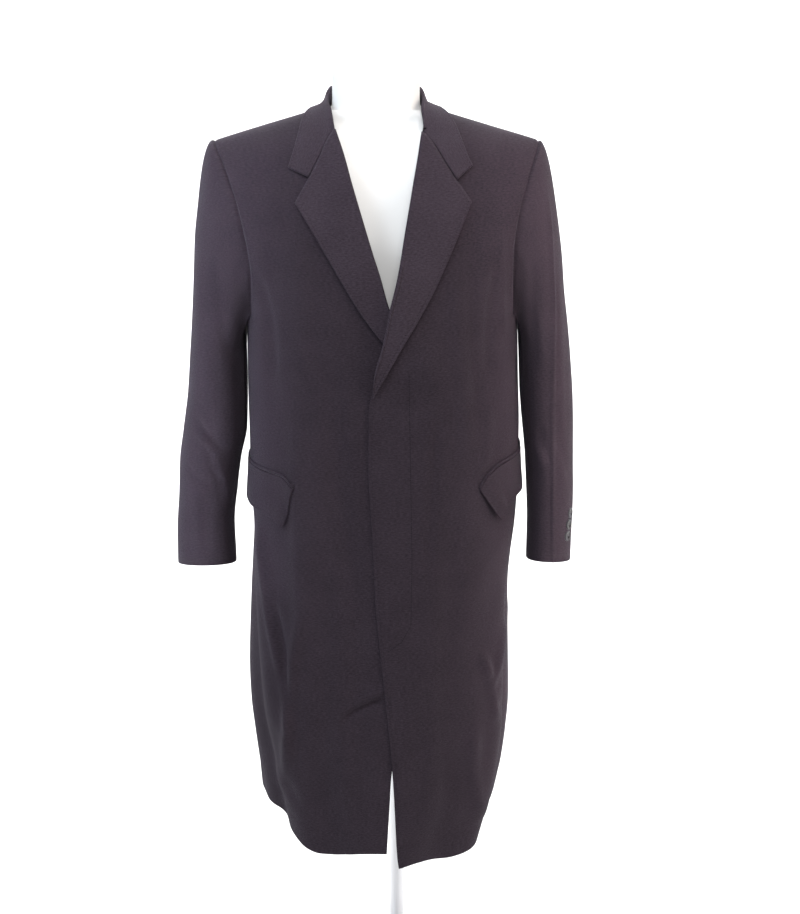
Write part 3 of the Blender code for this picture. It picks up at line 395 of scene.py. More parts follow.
SWELL = 0.0008
HEM_TURN = 0.042        # height of the hem's sewn line

# height, right side x, left side x, front y, back y, squareness
SECTIONS = (
    (0.34, -0.2095, 0.1475, -0.18, 0.156, 1.95),
    (0.39, -0.213, 0.1585, -0.18, 0.155, 2.0),
    (0.434, -0.217, 0.168, -0.1795, 0.154, 2.08),
    (0.49, -0.2243, 0.1752, -0.1785, 0.153, 2.15),
    (0.55, -0.2303, 0.179, -0.177, 0.151, 2.25),
    (0.617, -0.2319, 0.1782, -0.175, 0.149, 2.3),
    (0.74, -0.2291, 0.1768, -0.169, 0.143, 2.3),
    (0.8, -0.2255, 0.179, -0.165, 0.138, 2.32),
    (0.86, -0.2208, 0.183, -0.161, 0.133, 2.35),
    (0.93, -0.2235, 0.1862, -0.157, 0.125, 2.4),
    (1.0, -0.223, 0.186, -0.155, 0.119, 2.45),
    (1.09, -0.2225, 0.1825, -0.155, 0.125, 2.5),
    (1.18, -0.222, 0.179, -0.152, 0.137, 2.5),
)

# name, angle at hem, angle at top, top height, full height, depth, hem depth, width
FOLDS = (
    ("right ridge", 234, 202, 0.93, 0.72, 0.006, 0.005, 9.0),
    ("right trough", 210, 186, 0.9, 0.66, -0.0125, -0.015, 9.5),
    ("right back ridge", 176, 170, 0.85, 0.56, 0.006, 0.009, 9.0),
    ("right back trough", 149, 150, 0.82, 0.52, -0.009, -0.018, 9.5),
    ("right back swell", 122, 128, 0.82, 0.5, 0.006, 0.013, 10.0),
    ("left back swell", 66, 60, 0.84, 0.52, 0.006, 0.012, 10.5),
    ("left back trough", 37, 35, 0.83, 0.52, -0.01, -0.019, 9.5),
    ("left back ridge", 10, 14, 0.85, 0.56, 0.005, 0.007, 9.0),
    ("left trough", 343, 352, 0.88, 0.64, -0.012, -0.01, 9.0),
    ("left ridge", 322, 338, 0.9, 0.68, 0.0055, 0.013, 9.5),
    ("left front dip", 300, 311, 0.82, 0.62, -0.003, -0.005, 8.0),
    ("right front dip", 248, 238, 0.84, 0.64, -0.003, -0.005, 9.0),
)

# angle, height of the hem
HEM = (
    (0, 0.379), (45, 0.38), (90, 0.378), (135, 0.382), (180, 0.391), (203, 0.388), (214, 0.38),
    (225, 0.3715), (233, 0.362), (241, 0.3575), (247, 0.3585), (255, 0.364), (262, 0.3685), (268, 0.37),
    (272, 0.339), (282, 0.3428), (290, 0.3465), (300, 0.344), (310, 0.3405), (322, 0.3455), (335, 0.355),
    (350, 0.372), (360, 0.379),
)

# height, x of the front edge, the roll line and the neck seam
LEFT_EDGE = (
    (0.34, 0.004), (0.361, 0.0015), (0.493, -0.005), (0.641, -0.018), (0.766, -0.03), (0.874, -0.035),
    (0.974, -0.04), (1.057, -0.039), (1.09, -0.0331), (1.116, -0.0281), (1.143, -0.0197), (1.175, -0.0119),
    (1.207, -0.0056), (1.237, 0.0013), (1.271, 0.0083), (1.305, 0.0138), (1.338, 0.0193), (1.371, 0.0249),
    (1.403, 0.0305), (1.43, 0.035), (1.452, 0.039), (1.4755, 0.0415),
)
RIGHT_EDGE = (
    (0.34, -0.016), (0.369, -0.0145), (0.457, -0.0098), (0.49, -0.0082), (0.56, 0.002), (0.641, 0.015),
    (0.766, 0.03), (0.874, 0.037), (0.974, 0.041), (1.085, 0.042), (1.125, 0.028), (1.16, 0.011),
    (1.1985, -0.0084), (1.246, -0.0222), (1.267, -0.029), (1.32, -0.0455), (1.364, -0.0594),
    (1.412, -0.074), (1.443, -0.086), (1.4755, -0.0985),
)

# height, x of the armhole
ARMHOLE_RIGHT = (
    (1.18, -0.211), (1.237, -0.2085), (1.273, -0.212), (1.308, -0.219), (1.343, -0.228), (1.386, -0.244),
    (1.426, -0.264),
)
ARMHOLE_LEFT = (
    (1.18, 0.1705), (1.237, 0.169), (1.273, 0.169), (1.308, 0.173), (1.343, 0.18), (1.386, 0.1925),
    (1.426, 0.207),
)

# Creases in millimetres: start x, start z, end x, end z, bow, rise, width
FRONT_CREASES = (
    (-205, 860, -170, 640, 4, 3.4, 8.5), (-170, 640, -160, 560, 0, 2.6, 8),
    (-142, 1060, -138, 720, 3, 1.6, 13), (-140, 740, -164, 520, 6, 3.8, 10),
    (-160, 560, -180, 440, 2, 2.2, 10), (-188, 760, -162, 590, -6, -3.4, 9),
    (-190, 560, -150, 430, 10, -1.8, 12), (-124, 1020, -134, 500, 4, 2.6, 28),
    (-98, 900, -102, 430, 6, -1.2, 18), (-62, 880, -56, 420, -4, -1.4, 20),
    (-17, 623, -80, 585, 6, -2.2, 5.5), (-10, 642, -60, 612, 4, 1.4, 7.5),
    (-93, 1120, -64, 780, 4, -1.8, 17), (-136, 1370, -138, 1080, -4, 1.2, 15),
    (-170, 1300, -175, 1050, 3, -1.2, 13), (-195, 1240, -180, 1100, -6, -2.2, 9),
    (169, 710, 144, 620, -4, 2, 7.5), (129, 670, 154, 565, -3, 3.8, 8), (142, 640, 160, 570, 3, -2.2, 8),
    (118, 560, 133, 400, 5, 2.4, 11), (106, 940, 112, 500, -4, 1.4, 26), (84, 880, 79, 420, 6, -1, 17),
    (60, 1050, 48, 820, 3, -1.1, 8), (56, 800, 48, 420, -3, 1, 19), (81, 1240, 101, 990, -3, 1.6, 13),
    (106, 1320, 116, 1040, 4, -1.4, 12), (144, 1260, 134, 1100, 6, -2.2, 9),
    (132, 1060, 126, 960, -3, 1.2, 8), (149, 1300, 155, 1160, 3, 1.2, 7),
)
BACK_CREASES = (
    (-110, 1330, -150, 1050, 10, -2, 16), (56, 1330, 100, 1050, -10, -2, 16),
    (-170, 1320, -188, 1120, 6, 2.2, 11), (115, 1320, 140, 1120, -6, 2.1, 11),
    (-70, 1120, -115, 860, 4, 1.6, 15), (22, 1100, 64, 840, -4, 1.5, 15),
    (-190, 990, -108, 905, -6, -1.8, 9), (142, 1000, 70, 930, 6, -1.7, 9),
    (-50, 820, -56, 420, 4, -1.8, 17), (14, 800, 18, 430, -4, 1.6, 15),
    (-136, 800, -150, 430, -5, 1.8, 14), (88, 780, 100, 420, 5, -1.8, 14),
    (-80, 1432, 22, 1430, 10, -1, 9),
)


def ease(t):
    t = np.clip(t, 0.0, 1.0)
    return t * t * (3.0 - 2.0 * t)


def section(z):
    """Middle, half width, front and back depth and squareness at a height."""
    right, left, front, back, square = (table(SECTIONS, z, c) for c in range(1, 6))
    return (right + left) / 2, (left - right) / 2, -front, back, square


def drape(angle, z):
    """How far the big folds move the cloth out."""
    total = np.zeros(np.broadcast(angle, z).shape)
    for _, low, high, top, full, depth, hem_depth, width in FOLDS:
        share = (top - z) / (top - 0.37)
        centre = high + (low - high) * np.minimum(share, 1.05)
        away = (angle - centre + 180.0) % 360.0 - 180.0
        upper = depth * ease((top - z) / (top - full))
        lower = depth + (hem_depth - depth) * ease((full - z) / (full - 0.37))
        size = np.where(z > full, upper, lower)
        bell = np.where(np.abs(away) > 3.0 * width, 0.0, np.exp(-((away / width) ** 2)))
        total += np.where(z >= top, 0.0, size * bell)
    return total


def skirt(angle, z):
    """Outer points of the body below the armpits."""
    cx, hx, front, back, n = section(z)
    turn = np.radians(angle)
    c, s = np.cos(turn), np.sin(turn)
    depth = np.where(s > 0, back, front)
    out = drape(angle, z)
    ax, ay = c / hx, s / depth
    length = np.hypot(ax, ay)
    x = cx + hx * power(c, 2 / n) + ax / length * out
    y = depth * power(s, 2 / n) + ay / length * out
    return np.stack([x, y, z + 0.0 * x], axis=-1)


def angle_at(x, z, front=True):
    cx, hx, _, _, n = section(z)
    turn = np.degrees(np.arccos(np.clip(power((x - cx) / hx, n / 2), -1.0, 1.0)))
    return 360.0 - turn if front else turn


def shoulder_line(x, front=True):
    """Height of the shoulder seam, and of the ridge behind the neck."""
    away = np.abs(x - NECK_X)
    share = 1 - away / NECK_HALF if front else np.clip(1 - (away / NECK_HALF) ** 2, 0, 1) ** 0.8
    over = NECK_Z + (RIDGE_Z - NECK_Z) * share
    end = np.where(x > NECK_X, SHOULDER_LEFT_X - NECK_X, NECK_X - SHOULDER_RIGHT_X)
    slope = NECK_Z + (SHOULDER_Z - NECK_Z) * (away - NECK_HALF) / (end - NECK_HALF)
    return np.where(away < NECK_HALF, over, slope)


def chest(x, h, front=True):
    """Outer points above the armpits; h runs from 0 there to 1 at the ridge."""
    cx, hx, front_depth, back_depth, n = section(ARMPIT_Z)
    cx = cx + (NECK_X - cx) * h
    hx = hx + (SHOULDER_REACH - hx) * h ** 1.3
    depth = front_depth * (1 - 0.05 * h) if front else back_depth
    round_x = np.maximum(1.0 - (np.abs(x - cx) / hx) ** n, 0.0) ** (1 / n)
    round_z = np.maximum(1.0 - h ** (2.5 if front else 2.8), 0.0) ** 0.5
    y = depth * round_x * round_z
    z = ARMPIT_Z + h * (shoulder_line(x, front) - ARMPIT_Z)
    return np.stack([x, 0.006 * h + (-y if front else y), z], axis=-1)


def edge_at(edge, h):
    """x of an edge table at share h of the height above the armpits."""
    z = ARMPIT_Z + h * (NECK_Z - ARMPIT_Z)
    for _ in range(60):
        z = z + 0.7 * (ARMPIT_Z + h * (shoulder_line(table(edge, z)) - ARMPIT_Z) - z)
    return table(edge, z)


def lift(x, z, left):
    """How far the left front lies out over the right one and its lapel."""
    if not left:
        return 0.0 * x
    under = table(RIGHT_EDGE, z)
    lap = ease((z - 0.43) / 0.05) * ease((1.310 - z) / 0.080) * ease((under + 0.050 - x) / 0.044)
    near = ease((z - 1.060) / 0.070) * ease((1.310 - z) / 0.080) * ease((under + 0.088 - x) / 0.080)
    return 0.0034 * lap + 0.0086 * near


def spread(rows, columns, count, start, arm):
    """Grid numbers, share and x share of the way to the armhole, height and drop."""
    r, j = np.meshgrid(rows, columns, indexing="ij")
    s = np.clip(j / count, 0, 1)
    first, last = skirt(start, ARMPIT_Z)[0], skirt(arm, ARMPIT_Z)[0]
    share = (skirt(start + (arm - start) * s, ARMPIT_Z)[..., 0] - first) / (last - first)
    h = 1.0 - (1.0 - np.clip(CHEST_ROWS - r, 0, CHEST_ROWS) / CHEST_ROWS) ** RIDGE_CROWD
    return r, j, s, share, h, np.clip((r - CHEST_ROWS) / BODY_ROWS, 0, 1)


def front_points(left, rows, columns):
    """Grid of a front; row 0 is the shoulder seam, 8 the armpits, 28 the hem."""
    edge, armhole = (LEFT_EDGE, ARMHOLE_LEFT) if left else (RIGHT_EDGE, ARMHOLE_RIGHT)
    arm = angle_at(armhole[0][1], ARMPIT_Z)
    seam = 360.0 + SIDE_SEAM if left else 180.0 - SIDE_SEAM
    start = angle_at(table(edge, ARMPIT_Z), ARMPIT_Z)
    r, j, s, share, h, down = spread(rows, columns, FRONT_COLUMNS, start, arm)
    inner, outer = edge_at(edge, h[:, :1]), edge_at(armhole, h[:, :1])
    upper = chest(inner + (outer - inner) * share, h)
    z = ARMPIT_Z + (table(HEM, HEM_LEFT if left else HEM_RIGHT) - ARMPIT_Z) * down
    near = angle_at(table(edge, z), z)
    side = np.clip((j - FRONT_COLUMNS) / SIDE_COLUMNS, 0, 1)
    angle = near + (arm - near) * s + (seam - arm) * side
    low = table(HEM, (np.maximum(angle, HEM_LEFT) if left else np.minimum(angle, HEM_RIGHT)) % 360.0)
    z = ARMPIT_Z + (low - ARMPIT_Z) * down
    angle = angle + (angle_at(table(edge, z), z) - near) * np.clip(1 - j, 0, 1)
    points = np.where((r < CHEST_ROWS)[..., None], upper, skirt(angle, z))
    points[..., 1] -= lift(points[..., 0], points[..., 2], left)
    return points


def back_points(left, rows, columns):
    """Grid of a back, from the back seam outwards."""
    armhole, side, inset = ARMHOLE_RIGHT, -NECK_HALF, BACK_INSET
    if left:
        armhole, side, inset = ARMHOLE_LEFT, NECK_HALF, -BACK_INSET
    arm = angle_at(armhole[0][1] + inset, ARMPIT_Z, front=False)
    seam = SIDE_SEAM if left else 180.0 - SIDE_SEAM
    centre = angle_at(NECK_X, ARMPIT_Z, front=False)
    r, j, s, share, h, down = spread(rows, columns, BACK_COLUMNS, centre, arm)
    outer = edge_at(armhole, h[:, :1]) + inset * (1 - h)
    far = np.clip((j - NECK_COLUMNS) / (BACK_COLUMNS - NECK_COLUMNS), 0, 1)
    high = np.where(j <= NECK_COLUMNS, side * j / NECK_COLUMNS, side + (outer - NECK_X - side) * far)
    x = NECK_X + (outer - NECK_X) * share * (1 - h * h) + high * h * h
    ridge = shoulder_line(x, front=False)
    reach = (np.minimum(NECK_Z + 0.002, ridge) - ARMPIT_Z) / (ridge - ARMPIT_Z)
    upper = chest(x, h * reach, front=False)
    beyond = np.clip((j - BACK_COLUMNS) / BACK_SIDE_COLUMNS, 0, 1)
    angle = centre + (arm - centre) * s + (seam - arm) * beyond
    z = ARMPIT_Z + (table(HEM, angle % 360.0) - ARMPIT_Z) * down
    return np.where((r < CHEST_ROWS)[..., None], upper, skirt(angle, z))


def waves(p, seed):
    """Slow, uneven swell that no cloth is free of, about one unit high."""
    x, y, z = p[..., 0], p[..., 1], p[..., 2]
    a = np.sin(31 * x + 9 * z + seed) * np.sin(13 * z - 17 * y + 2.1 * seed)
    b = np.sin(57 * x - 21 * z + 1.7 * seed) * np.sin(37 * y + 23 * z + 0.6 * seed)
    return 0.65 * a + 0.35 * b


def crease(x, z, line):
    """Rise of one soft crease that fades out at both ends."""
    x0, z0, x1, z1, bow, rise, width = (v / 1000 for v in line)
    ax, az = x1 - x0, z1 - z0
    length = math.hypot(ax, az)
    t = ((x - x0) * ax + (z - z0) * az) / length ** 2
    off = ((x - x0) * az - (z - z0) * ax) / length - bow * 4 * t * (1 - t)
    fade = ease((t + 0.12) / 0.30) * ease((1.12 - t) / 0.30)
    return rise * fade * np.exp(-((off / width) ** 2))


def body_relief(p, front):
    """Creases and swell of the fronts or the backs."""
    x, z = p[..., 0], p[..., 2]
    total = SWELL * waves(p, 1.3)
    for line in FRONT_CREASES if front else BACK_CREASES:
        total = total + CREASE_DEPTH * crease(x, z, line)
    hem_line = table(HEM, angle_at(np.clip(x, -0.236, 0.180), 0.45, front) % 360.0) + HEM_TURN
    return total - 0.0005 * np.exp(-(((z - hem_line) / 0.0035) ** 2))


def fine(first, last, step, marks=()):
    """Even values from first to last, with more of them close to the marks."""
    values = set(np.round(np.arange(first, last + step / 2, step), 6))
    for mark, sides, unit in marks:
        for away in (0.35, 0.9, 1.7, 3.0, 5.0):
            values |= {round(mark + side * away * unit, 6) for side in sides}
    kept = []
    for value in sorted(v for v in values if first <= v <= last):
        if not kept or value - kept[-1] > 1e-4:
            kept.append(value)
    return np.array(kept)


def grid_quads(shape):
    """Quads of a grid of numbered points, as an array of cells."""
    n = np.arange(shape[0] * shape[1]).reshape(shape)
    return np.stack([n[:-1, :-1], n[:-1, 1:], n[1:, 1:], n[1:, :-1]], axis=-1)


def unit(v):
    return v / np.maximum(np.linalg.norm(v, axis=-1, keepdims=True), 1e-12)


class Piece:
    """One cut piece: its grid, its cells with cloth and how its edges end."""

    def __init__(self, name, grid, keep, flip, relief, grain_from=0, free_side=False):
        self.name, self.grid, self.relief = name, grid, relief
        self.points = grid.reshape(-1, 3)
        self.quads = grid_quads(grid.shape[:2])[keep]
        if flip:
            self.quads = self.quads[:, ::-1]
        free = np.zeros(grid.shape[:2], dtype=bool)
        free[-1, :] = True
        free[:, 0] |= free_side
        self.free = free.reshape(-1)
        across = np.linalg.norm(np.diff(grid, axis=1), axis=-1).cumsum(axis=1)
        u = np.pad(across, ((0, 0), (1, 0)))
        u = u - u[:, grain_from:grain_from + 1]
        self.grain = np.stack([u, grid[..., 2]], axis=-1).reshape(-1, 2)
        p = self.points[self.quads]
        normals = np.zeros_like(self.points)
        for k in range(4):
            np.add.at(normals, self.quads[:, k], np.cross(p[:, 2] - p[:, 0], p[:, 3] - p[:, 1]))
        self.own = unit(normals)
        self.keys = [tuple(k) for k in np.round(self.points, 5)]


def nearest(points, numbers, used):
    """Distance from each used point to the nearest of the numbered ones."""
    result = np.full(len(points), 1.0)
    if len(numbers):
        tree_of = KDTree(len(numbers))
        for i in numbers:
            tree_of.insert(points[i], i)
        tree_of.balance()
        for i in used:
            result[i] = tree_of.find(points[i])[2]
    return result


def sew(piece, shared, groove, gap):
    """Relief, rounded edges and inner face of a piece; returns its object."""
    points, quads, count = piece.points, piece.quads, len(piece.points)
    used = np.unique(quads)
    common = piece.own.copy()
    for i in used:
        common[i] = shared.get(piece.keys[i], common[i])
    common = unit(common)
    agree = np.clip(((piece.own * common).sum(axis=1, keepdims=True) - 0.55) / 0.25, 0, 1)
    normal = unit(piece.own * (1 - agree) + common * agree)

    starts = np.concatenate([quads[:, k] for k in range(4)])
    ends = np.concatenate([quads[:, (k + 1) % 4] for k in range(4)])
    rim = (starts != ends) & ~np.isin(starts * count + ends, ends * count + starts)
    a, b, cell = starts[rim], ends[rim], np.tile(np.arange(len(quads)), 4)[rim]
    way = unit(points[b] - points[a])
    inward = points[quads[cell]].mean(axis=1) - points[a]
    inward = unit(inward - way * (inward * way).sum(axis=1, keepdims=True))
    pull = np.zeros_like(points)
    for corner in (a, b):
        np.add.at(pull, corner, inward)
    pull = unit(pull) * gap

    rim_points = np.unique(np.concatenate([a, b]))
    is_free = piece.free[rim_points]
    near_free = nearest(points, rim_points[is_free], used)
    near_seam = nearest(points, rim_points[~is_free], used)
    out = piece.relief(points) * ease(near_seam / 0.010 + 0.25)
    out = out - groove * np.exp(-((near_seam / 0.0026) ** 2))
    out = out + 0.0002 * np.exp(-(((near_seam - 0.0052) / 0.0030) ** 2))
    rounding = 0.5 * CLOTH * (1 - np.sqrt(np.clip(1 - np.clip(1 - near_free / 0.0016, 0, 1) ** 2, 0, 1)))
    outer = points + normal * (out - rounding)[:, None] + pull
    inner = points + normal * (out - CLOTH + rounding)[:, None] + pull
    piece.outer, piece.way = outer, normal
    piece.bare = points + normal * out[:, None]
    walls = np.stack([b, a, a + count, b + count], axis=1)
    faces = np.concatenate([quads, quads[:, ::-1] + count, walls])
    return wool_mesh(piece.name, np.concatenate([outer, inner]), faces, np.concatenate([piece.grain] * 2))


def smooth_mesh(name, points, faces):
    """Smooth shaded object with its mesh in place."""
    mesh = bpy.data.meshes.new(name)
    mesh.from_pydata(points, [], faces)
    mesh.polygons.foreach_set("use_smooth", [True] * len(mesh.polygons))
    thing = bpy.data.objects.new(name, mesh)
    bpy.context.scene.collection.objects.link(thing)
    return thing


def wool_mesh(name, points, faces, grain):
    """Mesh of quads and triangles with its grain as a UV map."""
    used, faces = np.unique(faces, return_inverse=True)
    rings = [list(dict.fromkeys(face)) for face in faces.reshape(-1, 4).tolist()]
    thing = smooth_mesh(name + "_cloth", points[used].tolist(), [ring for ring in rings if len(ring) > 2])
    mesh = thing.data
    mesh.update()
    layer = mesh.uv_layers.new(name="grain")
    corner = np.empty(len(mesh.loops), dtype=np.int32)
    mesh.loops.foreach_get("vertex_index", corner)
    layer.data.foreach_set("uv", grain[used][corner].reshape(-1).astype(np.float32))
    return thing


# Fine twill under a brushed nap, read from a map in metres.
MILLED, start, end = new_group(
    "milled_cloth",
    (("Grain", "Vector"), ("Ground", "Color"), ("Tips", "Color"), ("Twill size", "Float")),
    (("Colour", "Color"), ("Roughness", "Float"), ("Height", "Float")),
)
turn = node(MILLED, "Mapping", Vector=(start, "Grain"), Rotation=(0.0, 0.0, math.radians(58.0)))
twill = node(
    MILLED, "TexWave", wave_type="BANDS", bands_direction="X", Vector=(turn, 0),
    Scale=(start, "Twill size"), Distortion=2.2, Detail=2.0, Detail_Scale=1.6,
)
warp = node(MILLED, "Mapping", Vector=(start, "Grain"), Scale=(1500.0, 260.0, 1.0))
weft = node(MILLED, "Mapping", Vector=(start, "Grain"), Scale=(240.0, 1300.0, 1.0))
warp_noise = node(MILLED, "TexNoise", Vector=(warp, 0), Scale=1.0, Detail=2.0)
weft_noise = node(MILLED, "TexNoise", Vector=(weft, 0), Scale=1.0, Detail=2.0)
brushed = node(MILLED, "Mapping", Vector=(start, "Grain"), Scale=(0.5, 1.25, 1.0))
nap = node(MILLED, "TexNoise", Vector=(brushed, 0), Scale=430.0, Detail=3.0, Roughness=0.70)
cloud = node(MILLED, "TexNoise", Vector=(start, "Grain"), Scale=16.0, Detail=3.0, Roughness=0.6)
fibre = node(MILLED, "Math", operation="ADD", first=(warp_noise, 0), second=(weft_noise, 0))
mixed = node(MILLED, "Math", operation="MULTIPLY_ADD", first=(twill, "Fac"), second=0.35, third=(nap, 0))
height = node(MILLED, "Math", operation="MULTIPLY_ADD", first=(fibre, 0), second=0.55, third=(mixed, 0))
tone = node(MILLED, "Math", operation="MULTIPLY_ADD", first=(cloud, 0), second=0.24, third=(nap, 0))
level = node(MILLED, "MapRange", Value=(tone, 0), From_Min=0.38, From_Max=0.86)
blend = node(MILLED, "Mix", data_type="RGBA", Factor=(level, 0), A=(start, "Ground"), B=(start, "Tips"))
rough = node(MILLED, "MapRange", Value=(nap, 0), To_Min=0.80, To_Max=0.95)
feed(end, Colour=(blend, "Result"), Roughness=(rough, 0), Height=(height, 0))

melton, shader = new_material(
    "navy_melton", Roughness=0.9, Specular_IOR_Level=0.10,
    Sheen_Weight=0.06, Sheen_Roughness=0.42, Sheen_Tint=(0.86, 0.78, 0.96, 1.0),
)
grain_map = node(melton.node_tree, "UVMap", uv_map="grain")
finish = node(
    melton.node_tree, "Group", node_tree=MILLED, Grain=(grain_map, 0),
    Ground=(0.0185, 0.0132, 0.0180, 1.0), Tips=(0.0450, 0.0337, 0.0450, 1.0), Twill_size=300.0,
)
coat(shader, finish, 0.70, 0.0008)

# The collar and the facings are cut with their nap upwards; their lighter melton is painted highlight.
lit_melton = melton.copy()
lit_melton.name = "navy_melton_painted_highlight"
lit_finish = next(n for n in lit_melton.node_tree.nodes if n.type == "GROUP")
feed(lit_finish, Ground=(0.0240, 0.0172, 0.0235, 1.0), Tips=(0.0570, 0.0430, 0.0570, 1.0))


def dress(thing, nodes, held="hung"):
    """Give a cloth object its material and its place in the model."""
    # Folded pieces take the lighter melton copy with its painted highlight.
    thing.data.materials.append(lit_melton if held == "folded" else melton)
    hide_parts(*nodes)
    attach(thing, "root")


rows = fine(0.0, LAST_ROW, GRID_STEP, ((CHEST_ROWS, (-1, 1), 0.03), (LAST_ROW, (-1,), 0.03)))
marks = ((0.0, (1,), 0.035), (FRONT_COLUMNS, (-1, 1), 0.035), (LAST_FRONT, (-1,), 0.05))
front_columns = fine(0.0, LAST_FRONT, GRID_STEP, marks)
marks = ((0.0, (1,), 0.04), (BACK_COLUMNS, (-1, 1), 0.04), (LAST_BACK, (-1,), 0.05))
back_columns = fine(0.0, LAST_BACK, GRID_STEP, marks)
chest_row = int(np.where(np.isclose(rows, CHEST_ROWS))[0][0])


def cells(columns, side):
    """Cells with cloth: none above the armpits beyond the armhole's column."""
    return ~((rows[:-1] < CHEST_ROWS - 1e-6)[:, None] & (columns[:-1] > side - 1e-6)[None, :])


body = {}
front_keep = cells(front_columns, FRONT_COLUMNS)
back_keep = cells(back_columns, BACK_COLUMNS)
for side, left in (("left", True), ("right", False)):
    name = "front_" + side
    points = front_points(left, rows, front_columns)
    body[name] = Piece(name, points, front_keep, left, lambda p: body_relief(p, True), free_side=True)
    name = "back_" + side
    points = back_points(left, rows, back_columns)
    body[name] = Piece(name, points, back_keep, not left, lambda p: body_relief(p, False))

# -------------------------------------------------------------------- sleeves
# Two-piece sleeves set into the armholes with a full head.  The top sleeve
# carries a pressed line, and the elbows are creased.  Both halves are melton.

# height, outer x, inner x, front y, back y, turn in degrees
SLEEVE_RIGHT = (
    (0.806, -0.334, -0.246, -0.0955, 0.003, 0.0),
    (0.857, -0.333, -0.2475, -0.093, 0.015, 0.0),
    (0.905, -0.33, -0.243, -0.09, 0.028, 0.0),
    (0.956, -0.328, -0.2365, -0.088, 0.041, 0.0),
    (1.003, -0.3215, -0.2268, -0.086, 0.052, 0.0),
    (1.06, -0.313, -0.2252, -0.086, 0.062, 0.0),
    (1.125, -0.3068, -0.225, -0.088, 0.07, 0.0),
)
SLEEVE_LEFT = (
    (0.81, 0.2667, 0.2, -0.0925, 0.017, -88.0),
    (0.857, 0.268, 0.2005, -0.091, 0.027, -82.0),
    (0.905, 0.269, 0.199, -0.089, 0.037, -68.0),
    (0.956, 0.2683, 0.1965, -0.087, 0.047, -50.0),
    (1.003, 0.2677, 0.1918, -0.085, 0.056, -31.0),
    (1.06, 0.2652, 0.1868, -0.085, 0.064, -14.0),
    (1.125, 0.2595, 0.1832, -0.087, 0.07, 0.0),
)
SLEEVE_SQUARENESS = 2.25
SLEEVE_CREASE_DEPTH = 1.5
SLEEVE_SWELL = 0.0007
CUFF_SLANT = 0.20
CAP_RIGHT = -1.00
CAP_LEFT = 0.80
CAP_LEAN = 0.11
CAP_ROWS = 6
ARM_ROWS = 11
FRONT_SEAM = 2
HIND_SEAM = 17

# Sleeve creases in millimetres, in the columns of the body's; front, then back
SLEEVE_CREASES = {
    "right": (
        (
            (-292, 1030, -252, 985, 4, -2, 6), (-295, 1010, -260, 962, -4, 1.6, 6),
            (-280, 990, -256, 925, 3, -2.2, 5.5), (-268, 965, -250, 900, -2, 1.5, 6),
            (-310, 955, -270, 930, 3, -1.2, 6), (-290, 1320, -275, 1100, 4, 1.3, 11),
            (-256, 1260, -242, 1120, 3, -1.8, 9), (-298, 920, -294, 830, 2, 1.2, 8),
        ),
        (
            (-315, 1100, -245, 1040, -8, -2.4, 8), (-315, 1060, -245, 1000, -8, -2.8, 8),
            (-318, 1020, -250, 960, -6, -2.2, 8), (-290, 940, -280, 840, 3, 1.6, 9),
            (-270, 1300, -260, 1150, -4, -1.8, 10),
        ),
    ),
    "left": (
        (
            (219, 1340, 227, 1133, -2, 1.8, 3), (227, 1150, 236, 812, 0, 2.1, 2.6),
            (210, 1020, 230, 960, 3, -1.4, 7), (205, 990, 225, 930, -3, 1, 7),
            (235, 1000, 260, 930, -3, -1.2, 7), (196, 1260, 202, 1110, 3, -1.8, 8),
            (248, 1240, 256, 1000, 2, -1.2, 7),
        ),
        (
            (260, 1100, 198, 1030, 8, -2.6, 8), (262, 1050, 200, 980, 8, -2.6, 8),
            (264, 1000, 206, 940, 6, -2, 8), (236, 930, 230, 840, 3, 1.5, 9),
            (216, 1300, 210, 1150, 4, -1.8, 10),
        ),
    ),
}


def sleeve_points(sleeve, degrees, z):
    """Outer points of a sleeve; 0 faces the body, 90 the front, 180 outwards."""
    outer, inner, front, back, twist = (table(sleeve, z, c) for c in range(1, 6))
    turn = np.radians(degrees + twist)
    x = (outer + inner) / 2 + (inner - outer) / 2 * power(np.cos(turn), 2 / SLEEVE_SQUARENESS)
    y = (front + back) / 2 - (back - front) / 2 * power(np.sin(turn), 2 / SLEEVE_SQUARENESS)
    return np.stack([x, y, z + 0.0 * x], axis=-1)


def armhole_ring(front, back):
    """Ring shares and points: under the arm, up the front, down the back."""
    under = np.where(front_columns > FRONT_COLUMNS + 1e-6)[0][::-1]
    up = np.arange(chest_row, -1, -1)
    arm_front = int(np.where(np.isclose(front_columns, FRONT_COLUMNS))[0][0])
    arm_back = int(np.where(np.isclose(back_columns, BACK_COLUMNS))[0][0])
    beyond = np.where(back_columns > BACK_COLUMNS + 1e-6)[0][:-1]
    top = SIDE_COLUMNS + CHEST_ROWS
    shares = (LAST_FRONT - front_columns[under], top - rows[up], top + rows[1:chest_row + 1])
    down = back[1:chest_row + 1, arm_back]
    points = (front[chest_row, under], front[up, arm_front], down, back[chest_row, beyond])
    shares += (top + CHEST_ROWS - BACK_COLUMNS + back_columns[beyond],)
    return np.concatenate(shares), np.concatenate(points)


def ring_degrees(ring):
    """Angle of each armhole point, by the way along the ring, shoulder at 180."""
    count = len(ring)
    shoulder = int(np.argmax(ring[:, 2]))
    steps = np.linalg.norm(np.roll(ring, -1, axis=0) - ring, axis=1)
    reach = np.concatenate([[0.0], np.cumsum(steps)])
    half, whole = reach[shoulder], reach[count]
    under = -14.0
    climb = under + (180.0 - under) * reach[:count] / half
    descend = 180.0 + (180.0 + under) * (reach[:count] - half) / (whole - half)
    return np.where(np.arange(count) <= shoulder, climb, descend)


